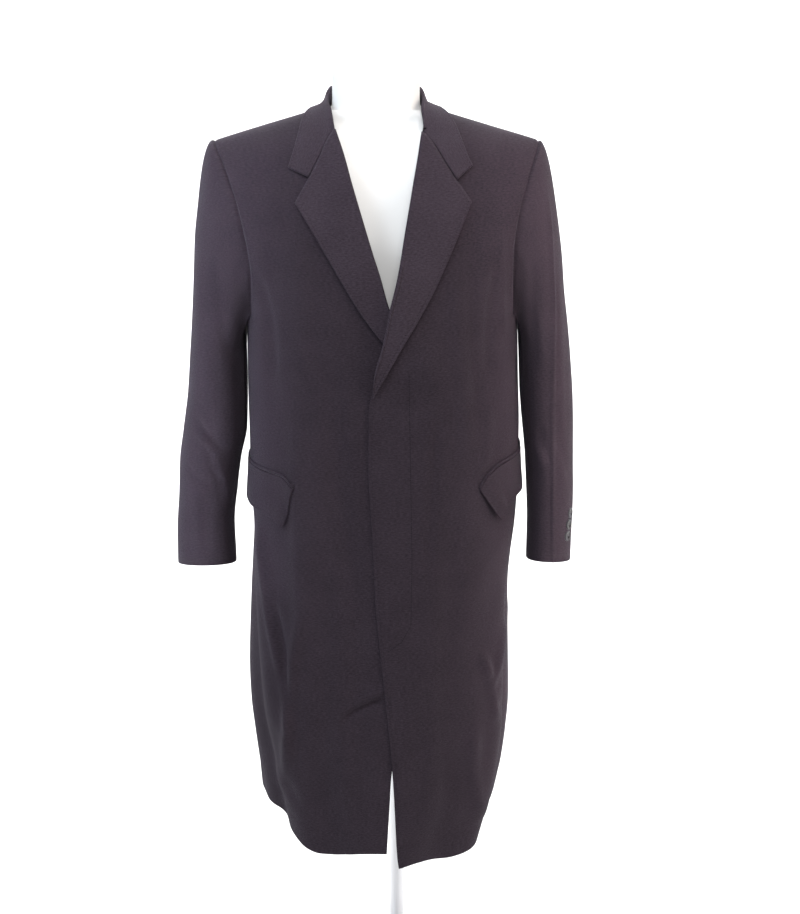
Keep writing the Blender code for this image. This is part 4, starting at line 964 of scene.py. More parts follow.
def sleeve_grid(ring, sleeve, out, steps):
    """Rings of a sleeve; step 0 is the armhole, 6 the cap's foot, 17 the cuff."""
    degrees = ring_degrees(ring)[None, :]
    top_z, low_z = sleeve[-1][0], sleeve[0][0]
    t = np.clip(steps / CAP_ROWS, 0, 1)[:, None, None]
    start = ring[None, :, :]
    end = sleeve_points(sleeve, degrees, np.full((1, len(ring)), top_z))
    high = ease((start[..., 2] - 1.20) / 0.19)
    zero = np.zeros_like(high)
    go = np.stack([out * (0.020 + 0.066 * high), zero, 0.028 * high], axis=-1)
    fall = 0.8 * (start[..., 2] - top_z)
    drop = np.stack([math.copysign(CAP_LEAN, out) * fall, zero, -fall], axis=-1)
    t2, t3 = t * t, t * t * t
    cap = start * (2 * t3 - 3 * t2 + 1) + end * (3 * t2 - 2 * t3)
    cap = cap + go * (t3 - 2 * t2 + t) + drop * (t3 - t2)
    foot = sleeve_points(sleeve, degrees, np.full((1, len(ring)), low_z))
    low = low_z - CUFF_SLANT * (foot[..., 1] - sleeve[0][3])
    z = top_z + (low - top_z) * np.clip((steps - CAP_ROWS) / ARM_ROWS, 0, 1)[:, None]
    arm = sleeve_points(sleeve, np.broadcast_to(degrees, z.shape), z)
    return np.where((steps <= CAP_ROWS)[:, None, None], cap, arm)


def sleeve_relief(p, lines):
    """Creases and swell of a sleeve, from its front and back lines."""
    total = SLEEVE_SWELL * waves(p, 4.1)
    in_front = ease(0.5 - p[..., 1] / 0.03)
    for share, part in zip((in_front, 1 - in_front), lines):
        for line in part:
            total = total + SLEEVE_CREASE_DEPTH * share * crease(p[..., 0], p[..., 2], line)
    return total


last_ring = CAP_ROWS + ARM_ROWS
steps = fine(0.0, last_ring, GRID_STEP, ((0.0, (1,), 0.04), (last_ring, (-1,), 0.03)))
arms = {}
for side, sleeve, reach in (("left", SLEEVE_LEFT, CAP_LEFT), ("right", SLEEVE_RIGHT, CAP_RIGHT)):
    shares, ring = armhole_ring(body["front_" + side].grid, body["back_" + side].grid)
    grid = sleeve_grid(ring, sleeve, reach, steps)
    first = int(np.argmin(np.abs(shares - FRONT_SEAM)))
    last = int(np.argmin(np.abs(shares - HIND_SEAM)))
    around = [k % len(shares) for k in range(last, len(shares) + first + 1)]
    for kind, columns in (("top_sleeve_", list(range(first, last + 1))), ("under_sleeve_", around)):
        points = grid[:, columns]
        keep = np.ones((points.shape[0] - 1, points.shape[1] - 1), dtype=bool)
        arms[kind + side] = Piece(
            kind + side, points, keep, side == "left",
            lambda p, lines=SLEEVE_CREASES[side]: sleeve_relief(p, lines), points.shape[1] // 2,
        )

# Where pieces meet, their outward ways are added up, so that the seam runs smooth.
everything = {**body, **arms}
shared = {}
for piece in everything.values():
    for i in np.unique(piece.quads):
        shared[piece.keys[i]] = shared.get(piece.keys[i], 0) + piece.own[i]
for key in list(shared):
    x, y, z = key
    on_seam = abs(z - float(shoulder_line(np.array(x)))) < 2e-5 and abs(y - 0.006) < 1e-4
    if abs(x - NECK_X) > NECK_HALF - 0.0005 and on_seam:
        fall = float(shoulder_line(np.array(x + 0.001)) - shoulder_line(np.array(x - 0.001)))
        shared[key] = np.array([-fall, 0.0, 0.002]) / 0.002

# piece: flat width and length, area, depth and gap of its seams
CUTS = {
    "front": ((0.36, 1.12), 0.30, 0.0014, SEAM_GAP),
    "back": ((0.30, 1.12), 0.25, 0.0014, SEAM_GAP),
    "top_sleeve": ((0.26, 0.64), 0.13, 0.0011, SLEEVE_GAP),
    "under_sleeve": ((0.16, 0.50), 0.06, 0.0011, SLEEVE_GAP),
}
for name, piece in everything.items():
    kind, side = name.rsplit("_", 1)
    flat, area, groove, gap = CUTS[kind]
    dress(sew(piece, shared, groove, gap), (name,))

# --------------------------------------------------------------------- lapels
# Facings turned out over the fronts.  Each has a full roll along the break line
# and lies flat to its pick-stitched edge, over canvas that keeps it straight.

# roll: lowest and highest level on the front's edge; edge: up to the tip; top:
# from the roll's end over the notch to the tip.  x, height
LAPEL_RIGHT = {
    "roll": (1.141, 1.44),
    "edge": (
        (0.004, 1.133), (-0.0182, 1.156), (-0.0473, 1.194), (-0.0939, 1.2715), (-0.139, 1.345),
    ),
    "top": (
        (-0.084, 1.44), (-0.0943, 1.4253), (-0.1022, 1.41), (-0.1106, 1.3938), (-0.1196, 1.3778),
        (-0.1247, 1.3696), (-0.1296, 1.3614), (-0.1343, 1.3532), (-0.139, 1.345),
    ),
}
LAPEL_LEFT = {
    "roll": (1.094, 1.436),
    "edge": (
        (-0.0331, 1.078), (0.0097, 1.153), (0.0512, 1.226), (0.0704, 1.266), (0.104, 1.3465),
    ),
    "top": (
        (0.0362, 1.436), (0.0485, 1.4248), (0.0587, 1.4104), (0.0703, 1.3927), (0.0829, 1.3744),
        (0.0889, 1.3673), (0.0942, 1.36), (0.0991, 1.3532), (0.104, 1.3465),
    ),
}
REST = 0.0005
LEAF_THICK = 0.0036
ROLL_HEIGHT = 0.0062
LAPEL_RINGS = 72
LAPEL_STEPS = 30
STITCH_INSET = 0.0052       # from a leaf's edge to its pick stitches


def along(points, t):
    """Point at share t of an open path of points with even parameters."""
    last = len(points) - 1
    lines = [(i / last, *p) for i, p in enumerate(points)]
    return [float(table(lines, t, c + 1)) for c in range(len(points[0]))]


def surface_tree(piece):
    used, quads = np.unique(piece.quads, return_inverse=True)
    quads = [list(dict.fromkeys(q)) for q in quads.reshape(-1, 4).tolist()]
    return BVHTree.FromPolygons([Vector(p) for p in piece.bare[used]], [q for q in quads if len(q) > 2])


def on_front(x, z, tree_of):
    """Point of a front's outer face straight in from -Y, and its normal."""
    spots = ((0, 0), (0.004, 0), (-0.004, 0), (0, 0.004), (0, -0.004))
    found = [tree_of.ray_cast(Vector((x + dx, -1.0, z + dz)), Vector((0.0, 1.0, 0.0))) for dx, dz in spots]
    if found[0][0] is None:
        return tree_of.find_nearest(Vector((x, -0.14, z)))[:2]
    return found[0][0], sum((f[1] for f in found if f[0] is not None), Vector()).normalized()


def laid(point, trees, clearance):
    """The point, moved out until it clears the cloth beneath it."""
    for _ in range(3):
        for tree_of in trees:
            near, normal, _, distance = tree_of.find_nearest(point, 0.06)
            if near is None:
                continue
            out = (point - near).dot(normal)
            if out < clearance and distance < 0.03:
                point = point + normal * (clearance - out)
    return point


def leaf_edge(rim, radius=0.0022, groove=0.00035, inset=STITCH_INSET):
    """How far a leaf is rounded off near its rim, and how deep its sewn line is."""
    rounded = 1 - math.sqrt(max(0.0, 1 - max(0.0, 1 - rim / radius) ** 2))
    return rounded, groove * math.exp(-(((rim - inset) / 0.0011) ** 2))


def outwards(points, faces):
    """The faces, turned round where they would enclose less than nothing."""
    p = points[faces]
    size = (p[:, 0] * np.cross(p[:, 1], p[:, 2])).sum() + (p[:, 0] * np.cross(p[:, 2], p[:, 3])).sum()
    return faces[:, ::-1] if size < 0 else faces


def loft(name, rings, grain):
    """Closed leaf through rings of equal count, with capped ends."""
    count = len(rings[0])
    points = np.array([[tuple(p) for p in ring] for ring in rings]).reshape(-1, 3)
    i, j = np.meshgrid(np.arange(len(rings) - 1), np.arange(count), indexing="ij")
    a, b = i * count + j, i * count + (j + 1) % count
    faces = np.stack([a, b, b + count, a + count], axis=-1).reshape(-1, 4).tolist()
    for base, step in ((0, -1), ((len(rings) - 1) * count, 1)):
        for k in range(count // 2 - 1):
            faces.append([base + k, base + k + 1, base + count - 2 - k, base + count - 1 - k][::step])
        if count % 2:
            half = base + count // 2
            faces.append([half - 1, half, half + 1, half + 1][::step])
    grain = np.array(grain, dtype=float).reshape(-1, 2)
    return wool_mesh(name, points, outwards(points, np.array(faces)), grain)


stitches = []       # lines of point and outward way, filled by each stitched edge


def lapel(name, shape, edge, tree_of):
    """Leaf with a full, round roll at its inner edge."""
    rings, grain, hem_line = [], [], []
    roll_end, tip = shape["top"][0], shape["top"][-1]
    for i in range(LAPEL_RINGS + 1):
        t = i / LAPEL_RINGS
        level = shape["roll"][0] + (shape["roll"][1] - shape["roll"][0]) * t
        inner = (float(table(edge, level)), level)
        outer = along(shape["edge"], t)
        way = Vector((outer[0] - inner[0], 0.0, outer[1] - inner[1]))
        wide = way.length
        way = way.normalized()
        under, over, uv = [], [], []
        for k in range(LAPEL_STEPS + 1):
            s = 1 - (1 - k / LAPEL_STEPS) ** 1.25
            corner = along(shape["top"], s)
            x, z = (
                inner[c] + (outer[c] - inner[c]) * s
                + (corner[c] - (roll_end[c] + (tip[c] - roll_end[c]) * s)) * t ** 3
                for c in (0, 1)
            )
            if k == 0:
                x += way.x * 0.0024
                z += way.z * 0.0024
            base, normal = on_front(x, z, tree_of)
            stand = REST + 0.0021 + 0.0012 * math.sin(math.pi * s) * math.sin(math.pi * min(t, 0.9))
            height = LEAF_THICK + (ROLL_HEIGHT - LEAF_THICK) * (1 - s) ** 2
            height *= 0.55 + 0.45 * float(ease(t / 0.12))
            height += 0.0003 * math.sin(41 * x + 23 * z) * math.sin(19 * z + 7 * x) - 0.0002
            rounded, groove = leaf_edge(min((1 - s) * wide, (1 - t) * 0.30 + 0.0004, t * 0.30 + 0.0004))
            point = laid(base + normal * stand, [tree_of], REST + 0.0024)
            under.append(point + normal * 0.42 * height * rounded)
            over.append(point + normal * (height * (1 - 0.42 * rounded) - groove))
            uv.append((x, z))
            if k == 0:
                apex_way = (-way - normal * (-way).dot(normal)).normalized()
                lips = []
                for turn in (20, 50, 80, 110, 140, 165):
                    angle = math.radians(turn)
                    rise = normal * height * (0.46 - 0.52 * math.cos(angle))
                    lips.append(point + rise + apex_way * (0.0012 + 0.0044 * math.sin(angle)))
        rings.append(under[::-1] + lips + over)
        grain.append(uv[::-1] + [uv[0]] * len(lips) + uv)
        spot = next((k for k in range(LAPEL_STEPS, 0, -1) if (over[-1] - over[k]).length > STITCH_INSET), 1)
        hem_line.append((over[spot], (over[spot] - under[spot]).normalized()))
    stitches.append(hem_line)
    ring = next(r for r in rings[:0:-1] if (rings[-1][-1] - r[-1]).length > STITCH_INSET)
    top_line = []
    for k in range(len(ring) - LAPEL_STEPS + 2, len(ring)):
        if 0.005 < (ring[k] - ring[-1]).length < 0.036:
            top_line.append((ring[k], (ring[k] - ring[len(ring) - 1 - k]).normalized()))
    if len(top_line) > 2:
        stitches.append(top_line)
    return loft(name, rings, grain)


left_tree = surface_tree(body["front_left"])
right_tree = surface_tree(body["front_right"])
for side, shape, edge, tree_of in (
    ("right", LAPEL_RIGHT, RIGHT_EDGE, right_tree),
    ("left", LAPEL_LEFT, LEFT_EDGE, left_tree),
):
    leaf = lapel("lapel_" + side, shape, edge, tree_of)
    dress(leaf, ("lapel_" + side,), held="folded")

# --------------------------------------------------------------------- collar
# Stand and fall cut in one with a pressed fold.  It runs round the neck and its
# ends meet the lapels at the gorge, leaving the notches.

# fold x y z, outer edge x y z, share of standing up
COLLAR = (
    ((-0.1207, -0.114, 1.3787), (-0.1498, -0.098, 1.391), 0.0),
    ((-0.1098, -0.1, 1.397), (-0.1458, -0.087, 1.403), 0.0),
    ((-0.099, -0.09, 1.4185), (-0.1409, -0.074, 1.42), 0.0),
    ((-0.0843, -0.0715, 1.444), (-0.1362, -0.057, 1.4385), 0.12),
    ((-0.0922, -0.0425, 1.468), (-0.131, -0.03, 1.456), 0.5),
    ((-0.0993, -0.013, 1.48), (-0.12, 0.006, 1.47), 0.9),
    ((-0.0997, 0.013, 1.4865), (-0.113, 0.04, 1.463), 1.0),
    ((-0.0935, 0.038, 1.499), (-0.103, 0.07, 1.452), 1.0),
    ((-0.078, 0.059, 1.502), (-0.085, 0.091, 1.446), 1.0),
    ((-0.056, 0.073, 1.504), (-0.061, 0.104, 1.443), 1.0),
    ((-0.03, 0.078, 1.5045), (-0.03, 0.109, 1.442), 1.0),
    ((-0.004, 0.073, 1.504), (0.003, 0.104, 1.443), 1.0),
    ((0.018, 0.059, 1.501), (0.027, 0.091, 1.446), 1.0),
    ((0.0335, 0.038, 1.498), (0.043, 0.07, 1.452), 1.0),
    ((0.0397, 0.013, 1.4855), (0.052, 0.04, 1.463), 1.0),
    ((0.0395, -0.013, 1.4795), (0.06, 0.006, 1.47), 0.9),
    ((0.0367, -0.0425, 1.4655), (0.0781, -0.032, 1.455), 0.5),
    ((0.0362, -0.0715, 1.4405), (0.0879, -0.057, 1.437), 0.12),
    ((0.0545, -0.093, 1.4185), (0.0945, -0.074, 1.42), 0.0),
    ((0.069, -0.102, 1.396), (0.1009, -0.087, 1.404), 0.0),
    ((0.0836, -0.115, 1.3752), (0.1065, -0.098, 1.394), 0.0),
)
SAG = -0.001
COLLAR_RINGS = 150
FALL_STEPS = 18

# share of the thickness, reach past the fold: the nose of the fold where it lies
NOSE = (
    (0.92, 0.0005), (0.80, 0.0009), (0.65, 0.0012), (0.50, 0.0012), (0.35, 0.0010),
    (0.20, 0.0007), (0.12, 0.0005), (0.08, 0.0003), (0.04, 0.0001),
)


def nearest_on(path, point):
    """Closest point of an open path."""
    best = None
    for a, b in zip(path, path[1:]):
        way = b - a
        if way.length < 1e-6:
            continue
        here = a + way * min(max((point - a).dot(way) / way.length_squared, 0.0), 1.0)
        if best is None or (here - point).length < (best - point).length:
            best = here
    return best


def collar_leaf(trees, neck_seam):
    """Stand and fall in one folded leaf round the neck."""
    rings, grain, edge_line = [], [], []
    folds, edges, standings = zip(*COLLAR)
    falls = [1 - (1 - k / FALL_STEPS) ** 1.2 for k in range(FALL_STEPS + 1)]
    rise = Vector((0.0, 0.0, 1.0))
    run, before = 0.0, None
    for i in range(COLLAR_RINGS + 1):
        t = i / COLLAR_RINGS
        fold_point = Vector(along(folds, t))
        edge_point = Vector(along(edges, t))
        standing = along([(share,) for share in standings], t)[0]
        across = edge_point - fold_point
        wide = across.length
        flat = Vector((across.x, across.y, 0.0)).normalized()
        fold_point += across.normalized() * 0.0014 * (1 - standing)
        side = Vector(along(folds, min(t + 0.01, 1.0))) - Vector(along(folds, max(t - 0.01, 0.0)))
        side.normalize()
        if before is not None:
            run += (fold_point - before).length
        before = fold_point.copy()
        under = []
        for s in falls:
            point = fold_point.lerp(edge_point, s)
            point.z += standing * SAG * math.sin(math.pi * s)
            clear = REST + 0.0016 + 0.0010 * (1 - s)
            if standing < 0.25:
                near, normal = on_front(point.x, point.z, trees[0 if point.x < NECK_X else 1])
                point = (near + normal * clear).lerp(point, float(ease(standing / 0.25)))
            under.append(laid(point, trees, clear))
        over, low = [], []
        for k, (s, point) in enumerate(zip(falls, under)):
            out = side.cross(under[min(k + 1, FALL_STEPS)] - under[max(k - 1, 0)]).normalized()
            rim = min((1 - s) * wide, min(t, 1 - t) * 0.48 + 0.0004)
            rounded, groove = leaf_edge(rim)
            swell = 0.0003 * math.sin(37 * run + 3 * s) * math.sin(4 * s + 11 * run)
            over.append(point + out * (LEAF_THICK * (1 - 0.42 * rounded) - groove + swell * (rim > 0.004)))
            low.append(point + out * LEAF_THICK * 0.42 * rounded)
            if k and len(edge_line) <= i and (1 - s) * wide < 0.0054:
                edge_line.append((over[-1], out))
        way = (under[0] - under[1]).normalized()
        u0, o0 = low[0], over[0]
        nose = [u0.lerp(o0, share) + way * reach for share, reach in NOSE]
        base = nearest_on(neck_seam, under[0]) + rise * 0.0007
        full = [
            o0 - flat * 0.0010 + rise * 0.0010,
            o0 - flat * 0.0024 + rise * 0.0015,
            u0 - flat * 0.0026 + rise * 0.0017,
            u0 - flat * 0.0038 + rise * 0.0010,
            u0 - flat * 0.0042 - rise * 0.0010,
            u0 - flat * 0.0040 - rise * 0.0034,
            base - flat * 0.0022,
            base - flat * 0.0001,
            u0 - flat * 0.0014 - rise * 0.0040,
        ]
        share = float(ease(standing / 0.9))
        rings.append(over[::-1] + [p.lerp(q, share) for p, q in zip(nose, full)] + low)
        line = [(run, wide * s) for s in falls]
        grain.append(line[::-1] + [(run, -0.003 * k) for k in range(len(full))] + line)
    stitches.append(edge_line)
    return loft("collar", rings, grain)


neck_seam = []
for side, step in (("right", 1), ("left", -1)):
    front, back = body["front_" + side].grid, body["back_" + side].grid
    path = [Vector(front[k, 0]) for k in np.where(rows <= 3.0)[0][::-1]]
    path += [Vector(back[0, k]) for k in np.where(back_columns <= NECK_COLUMNS - 0.9)[0][::-1]]
    neck_seam += path[::step]
trees = [surface_tree(body[name]) for name in ("front_right", "front_left", "back_right", "back_left")]
leaf = collar_leaf(trees, neck_seam)
dress(leaf, ("collar",), held="folded")

# ------------------------------------------------------------ flaps and jets
# Slanted hip pockets: a narrow jet above a flap of melton lined with itself.
# The flaps are set into the jet's seam and curl a little off the skirt.

# share of the length, top angle, top height, bottom angle, bottom height
FLAP_RIGHT = (
    (0.0, 236.8, 0.94, 229.6, 0.8805),
    (0.2, 227.0, 0.9535, 220.5, 0.8885),
    (0.5, 209.0, 0.956, 206.0, 0.8935),
    (1.0, 180.0, 0.957, 180.0, 0.896),
)
FLAP_LEFT = (
    (0.0, 308.8, 0.9355, 320.6, 0.8855),
    (0.1, 314.2, 0.953, 325.6, 0.8965),
    (0.3, 324.0, 0.966, 334.5, 0.9075),
    (0.55, 338.0, 0.97, 345.0, 0.9105),
    (1.0, 362.0, 0.972, 362.0, 0.907),
)
FLAP_THICK = 0.0032
FLAP_FLARE = 0.0050
FLAP_WIDTH = 0.170
FLAP_DEEP = 0.060
JET_HEIGHT = 0.0055
JET_THICK = 0.0026


def strip(name, stations, thickness, flare, trees, lines, is_flap, bend=0.0):
    """A strip of the body's face, moved out and closed with soft edges.

    A flap hangs from the stations' top line to their bottom line; a jet lies
    just above the top line.
    """
    outer, inner, uv = [], [], []
    shares_u = fine(0.0, 1.0, 1.0 / 64, ((0.0, (1,), 0.003), (1.0, (-1,), 0.003)))
    shares_v = fine(0.0, 1.0, 1.0 / lines, ((0.0, (1,), 0.008), (1.0, (-1,), 0.008)))
    deep = FLAP_DEEP if is_flap else JET_HEIGHT
    for v in shares_v:
        for u in shares_u:
            angle, z, end_angle, end_z = (float(table(stations, u, c)) for c in (1, 2, 3, 4))
            if is_flap:
                angle, z = angle + (end_angle - angle) * v, z + (end_z - z) * v
            else:
                z += 0.0006 + JET_HEIGHT * (1 - v)
            _, hx, front, back, _ = (float(q) for q in section(np.array(z)))
            turn = math.radians(angle)
            depth = back if math.sin(turn) > 0 else front
            away = Vector((math.cos(turn) / hx, math.sin(turn) / depth, 0.0)).normalized()
            curl = 1.0 + 0.9 * math.exp(-((u / 0.15) ** 2))
            fold = float(ease((0.20 - u) / 0.10)) * (0.20 - u) * 6 - math.exp(-(((u - 0.17) / 0.035) ** 2))
            stand = REST + flare * curl * v ** 1.6 + bend * v * fold
            low = laid(Vector(skirt(np.array(angle), np.array(z))) + away * stand, trees, REST)
            x, y = u * FLAP_WIDTH, v * deep
            rim = min(x, FLAP_WIDTH - x, deep - y, y + 0.001 * is_flap)
            rounded, groove = leaf_edge(rim, 0.0018, 0.0003 * is_flap, 0.0050)
            swell = 0.0004 * is_flap * math.sin(93 * x + 2) * math.sin(55 * y + 1)
            inner.append(low + away * thickness * 0.45 * rounded)
            outer.append(low + away * (thickness * (1 - 0.45 * rounded) - groove + swell))
            uv.append((x, z))
    count = len(outer)
    number = np.arange(count).reshape(len(shares_v), len(shares_u))
    quads = grid_quads(number.shape).reshape(-1, 4)
    ring = [*number[0], *number[1:, -1], *number[-1, :-1][::-1], *number[1:-1, 0][::-1]]
    walls = [[q, p, p + count, q + count] for p, q in zip(ring, ring[1:] + ring[:1])]
    points = np.array([tuple(p) for p in outer + inner])
    faces = outwards(points, np.concatenate([quads, quads[:, ::-1] + count, np.array(walls)]))
    if is_flap:
        inset = 0.005 / FLAP_WIDTH
        first, last = (int(np.argmin(np.abs(shares_u - share))) for share in (inset, 1 - inset))
        low = int(np.argmin(np.abs(shares_v - 1 + 0.005 / deep)))
        stops = [*number[1:low, first], *number[low, first:last + 1], *number[1:low, last][::-1]]
        stitches.append([(outer[k], (outer[k] - inner[k]).normalized()) for k in stops])
    return wool_mesh(name, points, faces, np.array(uv + uv))


for side, stations, bend, tree_of in (
    ("right", FLAP_RIGHT, 0.0004, right_tree),
    ("left", FLAP_LEFT, 0.0022, left_tree),
):
    flap = strip("flap_" + side, stations, FLAP_THICK, FLAP_FLARE, [tree_of], 24, True, bend)
    dress(flap, ("flap_" + side,))
    jet = strip("jet_" + side, stations, JET_THICK, 0.0, [tree_of], 5, False)
    dress(jet, ("jet_" + side,))

# --------------------------------------------------------------- cuff buttons
# Three four-hole buttons of dark polished horn on each cuff, close together,
# each sewn with crossed navy thread.

BUTTON_HEIGHTS = (0.8465, 0.8635, 0.8805)
BUTTON_RADIUS = 0.0077
BUTTON_THICK = 0.0032
BUTTON_ANGLE = 214.0
HOLE_RADIUS = 0.00085
HOLE_REACH = 0.0019         # from the button's middle to each hole's

horn = mottled(
    "polished_horn", (0.013, 0.013, 0.018), (0.034, 0.030, 0.034), 210.0, 1800.0, 0.34, 0.08, 0.0002,
    Coat_Weight=0.35, Coat_Roughness=0.18,
)
# The thread is near black, far darker than the cloth: painted shade for the sunk line that each row of
# stitches makes.
thread_with_painted_shade = mottled(
    "navy_thread_painted_shade", (0.006, 0.005, 0.008), (0.012, 0.010, 0.014), 700.0, 2600.0, 0.80, 0.25, 0.0002,
    Specular_IOR_Level=0.1,
)

# One button at the origin, its face up: turned rim, dish and four holes.
blank = turned(64, BUTTON_RADIUS, 0.0, BUTTON_THICK)
pick_faces(blank, lambda f: f.normal.z > 0.9)
cut((0.0016, 0), (0.0008, -0.0009), (0.0018, -0.0002))
pick_faces(blank, lambda f: f.normal.z < -0.9)
cut((0.0022, 0))
bpy.ops.object.mode_set(mode="OBJECT")
ease_edges(blank, 0.0004, 3, 25.0)
for turn in (45, 135, 225, 315):
    angle = math.radians(turn)
    drill = turned(20, HOLE_RADIUS, -0.01, 0.01)
    drill.location = (HOLE_REACH * math.cos(angle), HOLE_REACH * math.sin(angle), 0.0)
    hole = blank.modifiers.new("hole", "BOOLEAN")
    hole.object = drill
    hole.operation = "DIFFERENCE"
    hole.solver = "EXACT"
    apply_modifiers(blank)
    bpy.data.objects.remove(drill, do_unlink=True)
choose(blank)
bpy.ops.object.shade_smooth_by_angle(angle=math.radians(35.0))
blank.data.materials.append(horn)

# Two crossed passes of thread over the button's middle.
strands = []
for turn, z in ((135, 0.00225), (225, 0.00255)):
    strand = turned(12, 0.00055, -0.0019, 0.0019)
    pick_faces(strand, lambda f: abs(f.normal.z) > 0.9)
    cut((0.0002, 0))
    bpy.ops.object.mode_set(mode="OBJECT")
    strand.rotation_euler = (math.radians(90), 0, math.radians(turn))
    strand.location = (0, 0, z)
    strands.append(strand)
choose(strands[0])
strands[1].select_set(True)
bpy.ops.object.join()
tie = settle(bpy.context.object, "tie_blank")
ease_edges(tie, 0.0003, 3, 25.0)
tie.data.materials.append(thread_with_painted_shade)


def on_cuff(sleeve, degrees, z):
    return Vector(sleeve_points(sleeve, np.array(degrees), np.array(z)))


for side, sleeve in (("left", SLEEVE_LEFT), ("right", SLEEVE_RIGHT)):
    for k, z in enumerate(BUTTON_HEIGHTS):
        here = on_cuff(sleeve, BUTTON_ANGLE, z)
        across = on_cuff(sleeve, BUTTON_ANGLE + 4, z) - on_cuff(sleeve, BUTTON_ANGLE - 4, z)
        up = on_cuff(sleeve, BUTTON_ANGLE, z + 0.01) - on_cuff(sleeve, BUTTON_ANGLE, z - 0.01)
        axis = across.cross(up).normalized()
        centre = Vector((float(table(sleeve, z, 1) + table(sleeve, z, 2)) / 2, 0.0, z))
        if axis.dot(here - centre) < 0:
            axis = -axis
        w = up.normalized().cross(axis).normalized()
        turn = Matrix((w, axis.cross(w), axis)).transposed().to_4x4()
        name = f"button_{side}_{k + 1}"
        for source, part in ((blank, "_horn"), (tie, "_thread")):
            made = source.copy()
            made.data = source.data.copy()
            made.name = made.data.name = name + part
            bpy.context.scene.collection.objects.link(made)
            made.data.transform(Matrix.Translation(here + axis * 0.0006) @ turn)
            if source is blank:
                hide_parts(name)
            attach(made, "root")
bpy.data.objects.remove(blank, do_unlink=True)
bpy.data.objects.remove(tie, do_unlink=True)

# --------------------------------------------------------------- edge sewing
# Pick stitches of navy silk along the front edge, lapels, collar and flaps, and
# the machine-sewn line that holds the fly of the left front.

# height, x of the fly's sewn line
FLY = (
    (0.7, -0.012), (0.715, 0.008), (0.74, 0.0215), (0.84, 0.0229), (0.93, 0.0213), (1.115, 0.0181),
)
FRONT_SEWN = (0.370, 1.075)     # lowest and highest stitch of the front edge
FRONT_INSET = 0.0056


def spindle(centre, way, out, length, radius):
    """Small, half sunk spindle of thread."""
    side = way.cross(out).normalized()
    points = []
    for share, thick in ((-1.0, 0.15), (-0.7, 0.8), (0.0, 1.0), (0.7, 0.8), (1.0, 0.15)):
        middle = centre + way * length / 2 * share - out * 0.35 * radius * share ** 2
        for j in range(6):
            angle = 2 * math.pi * j / 6
            points.append(middle + (side * math.cos(angle) + out * math.sin(angle)) * radius * thick)
    walls = [(k * 6 + j, k * 6 + (j + 1) % 6) for k in range(4) for j in range(6)]
    return points, [[p, q, q + 6, p + 6] for p, q in walls] + [[5, 4, 3, 2, 1, 0], [24, 25, 26, 27, 28, 29]]


def sew_line(name, line, pitch, length, radius):
    """Row of stitches along a line of points with their outward ways."""
    points, faces = [], []
    run, wanted = 0.0, pitch / 2
    for (a, out_a), (b, out_b) in zip(line, line[1:]):
        step = (b - a).length
        if step < 1e-6:
            continue
        while run + step >= wanted:
            share = (wanted - run) / step
            out = out_a.lerp(out_b, share).normalized()
            way = (b - a).normalized()
            way = (way - out * way.dot(out)).normalized()
            new_points, new_faces = spindle(a.lerp(b, share) + out * 0.00005, way, out, length, radius)
            faces += [[i + len(points) for i in f] for f in new_faces]
            points += new_points
            wanted += pitch
        run += step
    thing = smooth_mesh(name, [tuple(p) for p in points], faces)
    edit = bmesh.new()
    edit.from_mesh(thing.data)
    bmesh.ops.recalc_face_normals(edit, faces=edit.faces)
    edit.to_mesh(thing.data)
    edit.free()
    thing.data.materials.append(thread_with_painted_shade)
    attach(thing, "root")


# Near-black thread: painted shade for the dimples that the pick stitches press in.
for k, line in enumerate(stitches):
    sew_line(f"pick_stitches_{k + 1}", line, 0.0046, 0.0017, 0.00030)

piece = body["front_left"]
outer = piece.outer.reshape(piece.grid.shape)
ways = piece.way.reshape(piece.grid.shape)
reach = np.linalg.norm(np.diff(outer, axis=1), axis=-1).cumsum(axis=1)
edge_line = []
for k in np.where(rows >= CHEST_ROWS)[0]:
    if FRONT_SEWN[0] < outer[k, 0, 2] < FRONT_SEWN[1]:
        j = int(np.argmin(np.abs(reach[k] - FRONT_INSET))) + 1
        edge_line.append((Vector(outer[k, j]), Vector(ways[k, j])))
sew_line("pick_stitches_front", edge_line, 0.0052, 0.0018, 0.00032)

# The fly's stitches are near black and wide: painted shade for its sunk sewn line.
fly_z, fly_x = zip(*FLY)
levels = np.linspace(fly_z[-1], fly_z[0], 160)
fly_line = [on_front(float(np.interp(z, fly_z, fly_x)), z, left_tree) for z in levels]
sew_line("fly_stitches", fly_line, 0.0029, 0.0025, 0.00034)

# ------------------------------------------------- floor, lights and camera
# Pale sweep of studio paper, a broad soft key from the left, a softer fill and
# an even white surround.

SWEEP_FLAT = 6.5            # length of the flat part, of 12 m in all
SWEEP_BEND = 1.5            # radius where the paper turns up

bpy.ops.mesh.primitive_grid_add(x_subdivisions=4, y_subdivisions=60, size=1.0, location=(0, 0, 0))
sweep = bpy.context.object
sweep.name = sweep.data.name = "studio_sweep"
for vertex in sweep.data.vertices:
    run = (vertex.co.y + 0.5) * 12.0 - SWEEP_FLAT
    turn = min(max(run / SWEEP_BEND, 0.0), math.pi / 2)
    y = 2.0 + min(run, 0.0) + SWEEP_BEND * math.sin(turn)
    z = SWEEP_BEND * (1 - math.cos(turn)) + max(run - SWEEP_BEND * math.pi / 2, 0.0)
    vertex.co = (vertex.co.x * 14.0, y, z)
sweep.data.polygons.foreach_set("use_smooth", [True] * len(sweep.data.polygons))
sweep.data.materials.append(mottled(
    "studio_paper", (0.90, 0.90, 0.90), (0.88, 0.88, 0.88), 2.0, 300.0, 0.85, 0.02, 0.0002,
    Specular_IOR_Level=0.1,
))

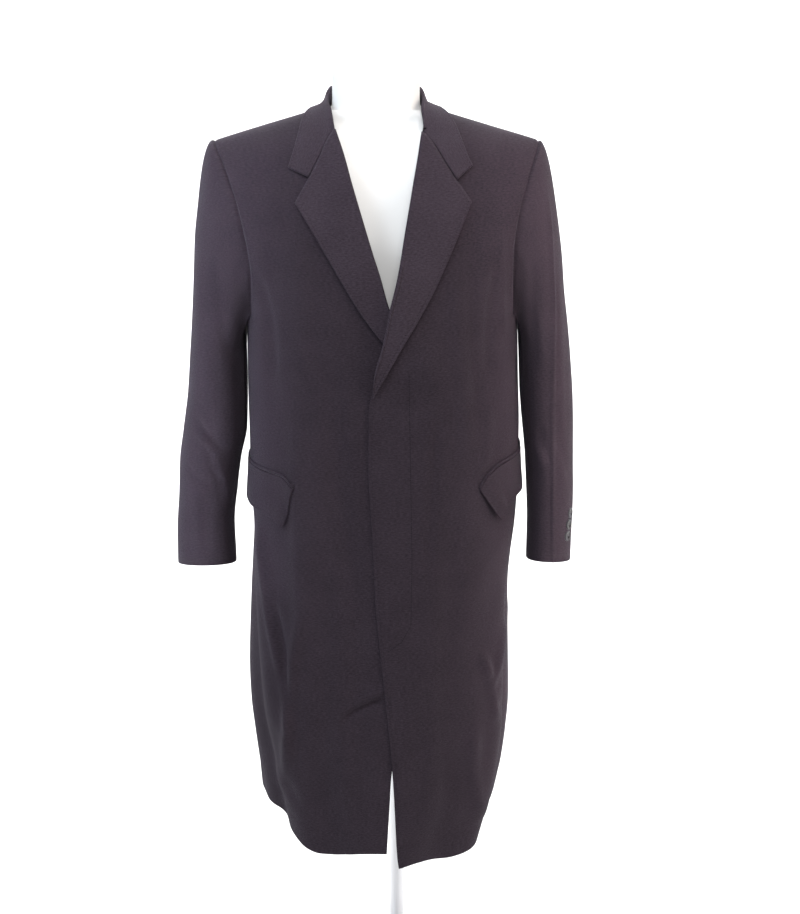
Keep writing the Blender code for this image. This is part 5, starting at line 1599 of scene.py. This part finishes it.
world = bpy.data.worlds.new("surround")
bpy.context.scene.world = world
world.use_nodes = True
world.node_tree.nodes["Background"].inputs["Color"].default_value = (0.96, 0.98, 1.0, 1.0)
world.node_tree.nodes["Background"].inputs["Strength"].default_value = 0.25

# name, place, aim, size, watts, colour, spread
LAMPS = (
    ("key", (-1.55, -1.15, 2.45), (0.0, 0.0, 1.1), (0.9, 1.6), 28.0, (0.78, 0.89, 1.0), 180.0),
    ("fill", (1.8, -1.0, 1.9), (0.0, 0.0, 1.1), (0.9, 1.6), 24.0, (1.0, 0.91, 0.83), 180.0),
    ("top", (0.0, -1.4, 3.0), (0.0, 0.0, 1.2), (1.2, 0.8), 33.0, (1.0, 1.0, 1.0), 180.0),
    ("left_strip", (-1.6, -1.9, 1.2), (-0.29, -0.05, 1.13), (0.12, 0.8), 0.9, (0.82, 0.92, 1.0), 10.0),
    ("right_strip", (1.6, -1.9, 1.05), (0.26, -0.05, 0.98), (0.12, 1.2), 1.2, (1.0, 0.9, 0.83), 10.0),
    ("back_wash", (0.0, 1.4, 3.2), (0.0, 3.2, 0.8), (4.0, 1.0), 138.0, (1.0, 1.0, 1.0), 180.0),
    ("floor_wash", (0.0, 1.6, 2.2), (0.0, 1.6, 0.0), (3.0, 1.6), 45.0, (1.0, 1.0, 1.0), 180.0),
)
for name, place, aim, size, watts, colour, spread in LAMPS:
    lamp = bpy.data.lights.new(name, "AREA")
    lamp.shape = "RECTANGLE"
    lamp.size, lamp.size_y = size
    lamp.energy = watts
    lamp.color = colour
    lamp.spread = math.radians(spread)
    thing = bpy.data.objects.new(name, lamp)
    thing.location = place
    thing.rotation_euler = (Vector(aim) - Vector(place)).to_track_quat("-Z", "Y").to_euler()
    bpy.context.scene.collection.objects.link(thing)

bpy.context.scene.view_settings.view_transform = "Standard"
bpy.context.scene.view_settings.look = "None"
lens = bpy.data.cameras.new("camera")
lens.lens = 55.65
lens.sensor_width = 36.0
camera = bpy.data.objects.new("camera", lens)
camera.location = (0.0055, -2.1, 1.52)
camera.rotation_euler = (math.radians(90.0 - 15.2), 0.0, 0.0)
bpy.context.scene.collection.objects.link(camera)
bpy.context.scene.camera = camera
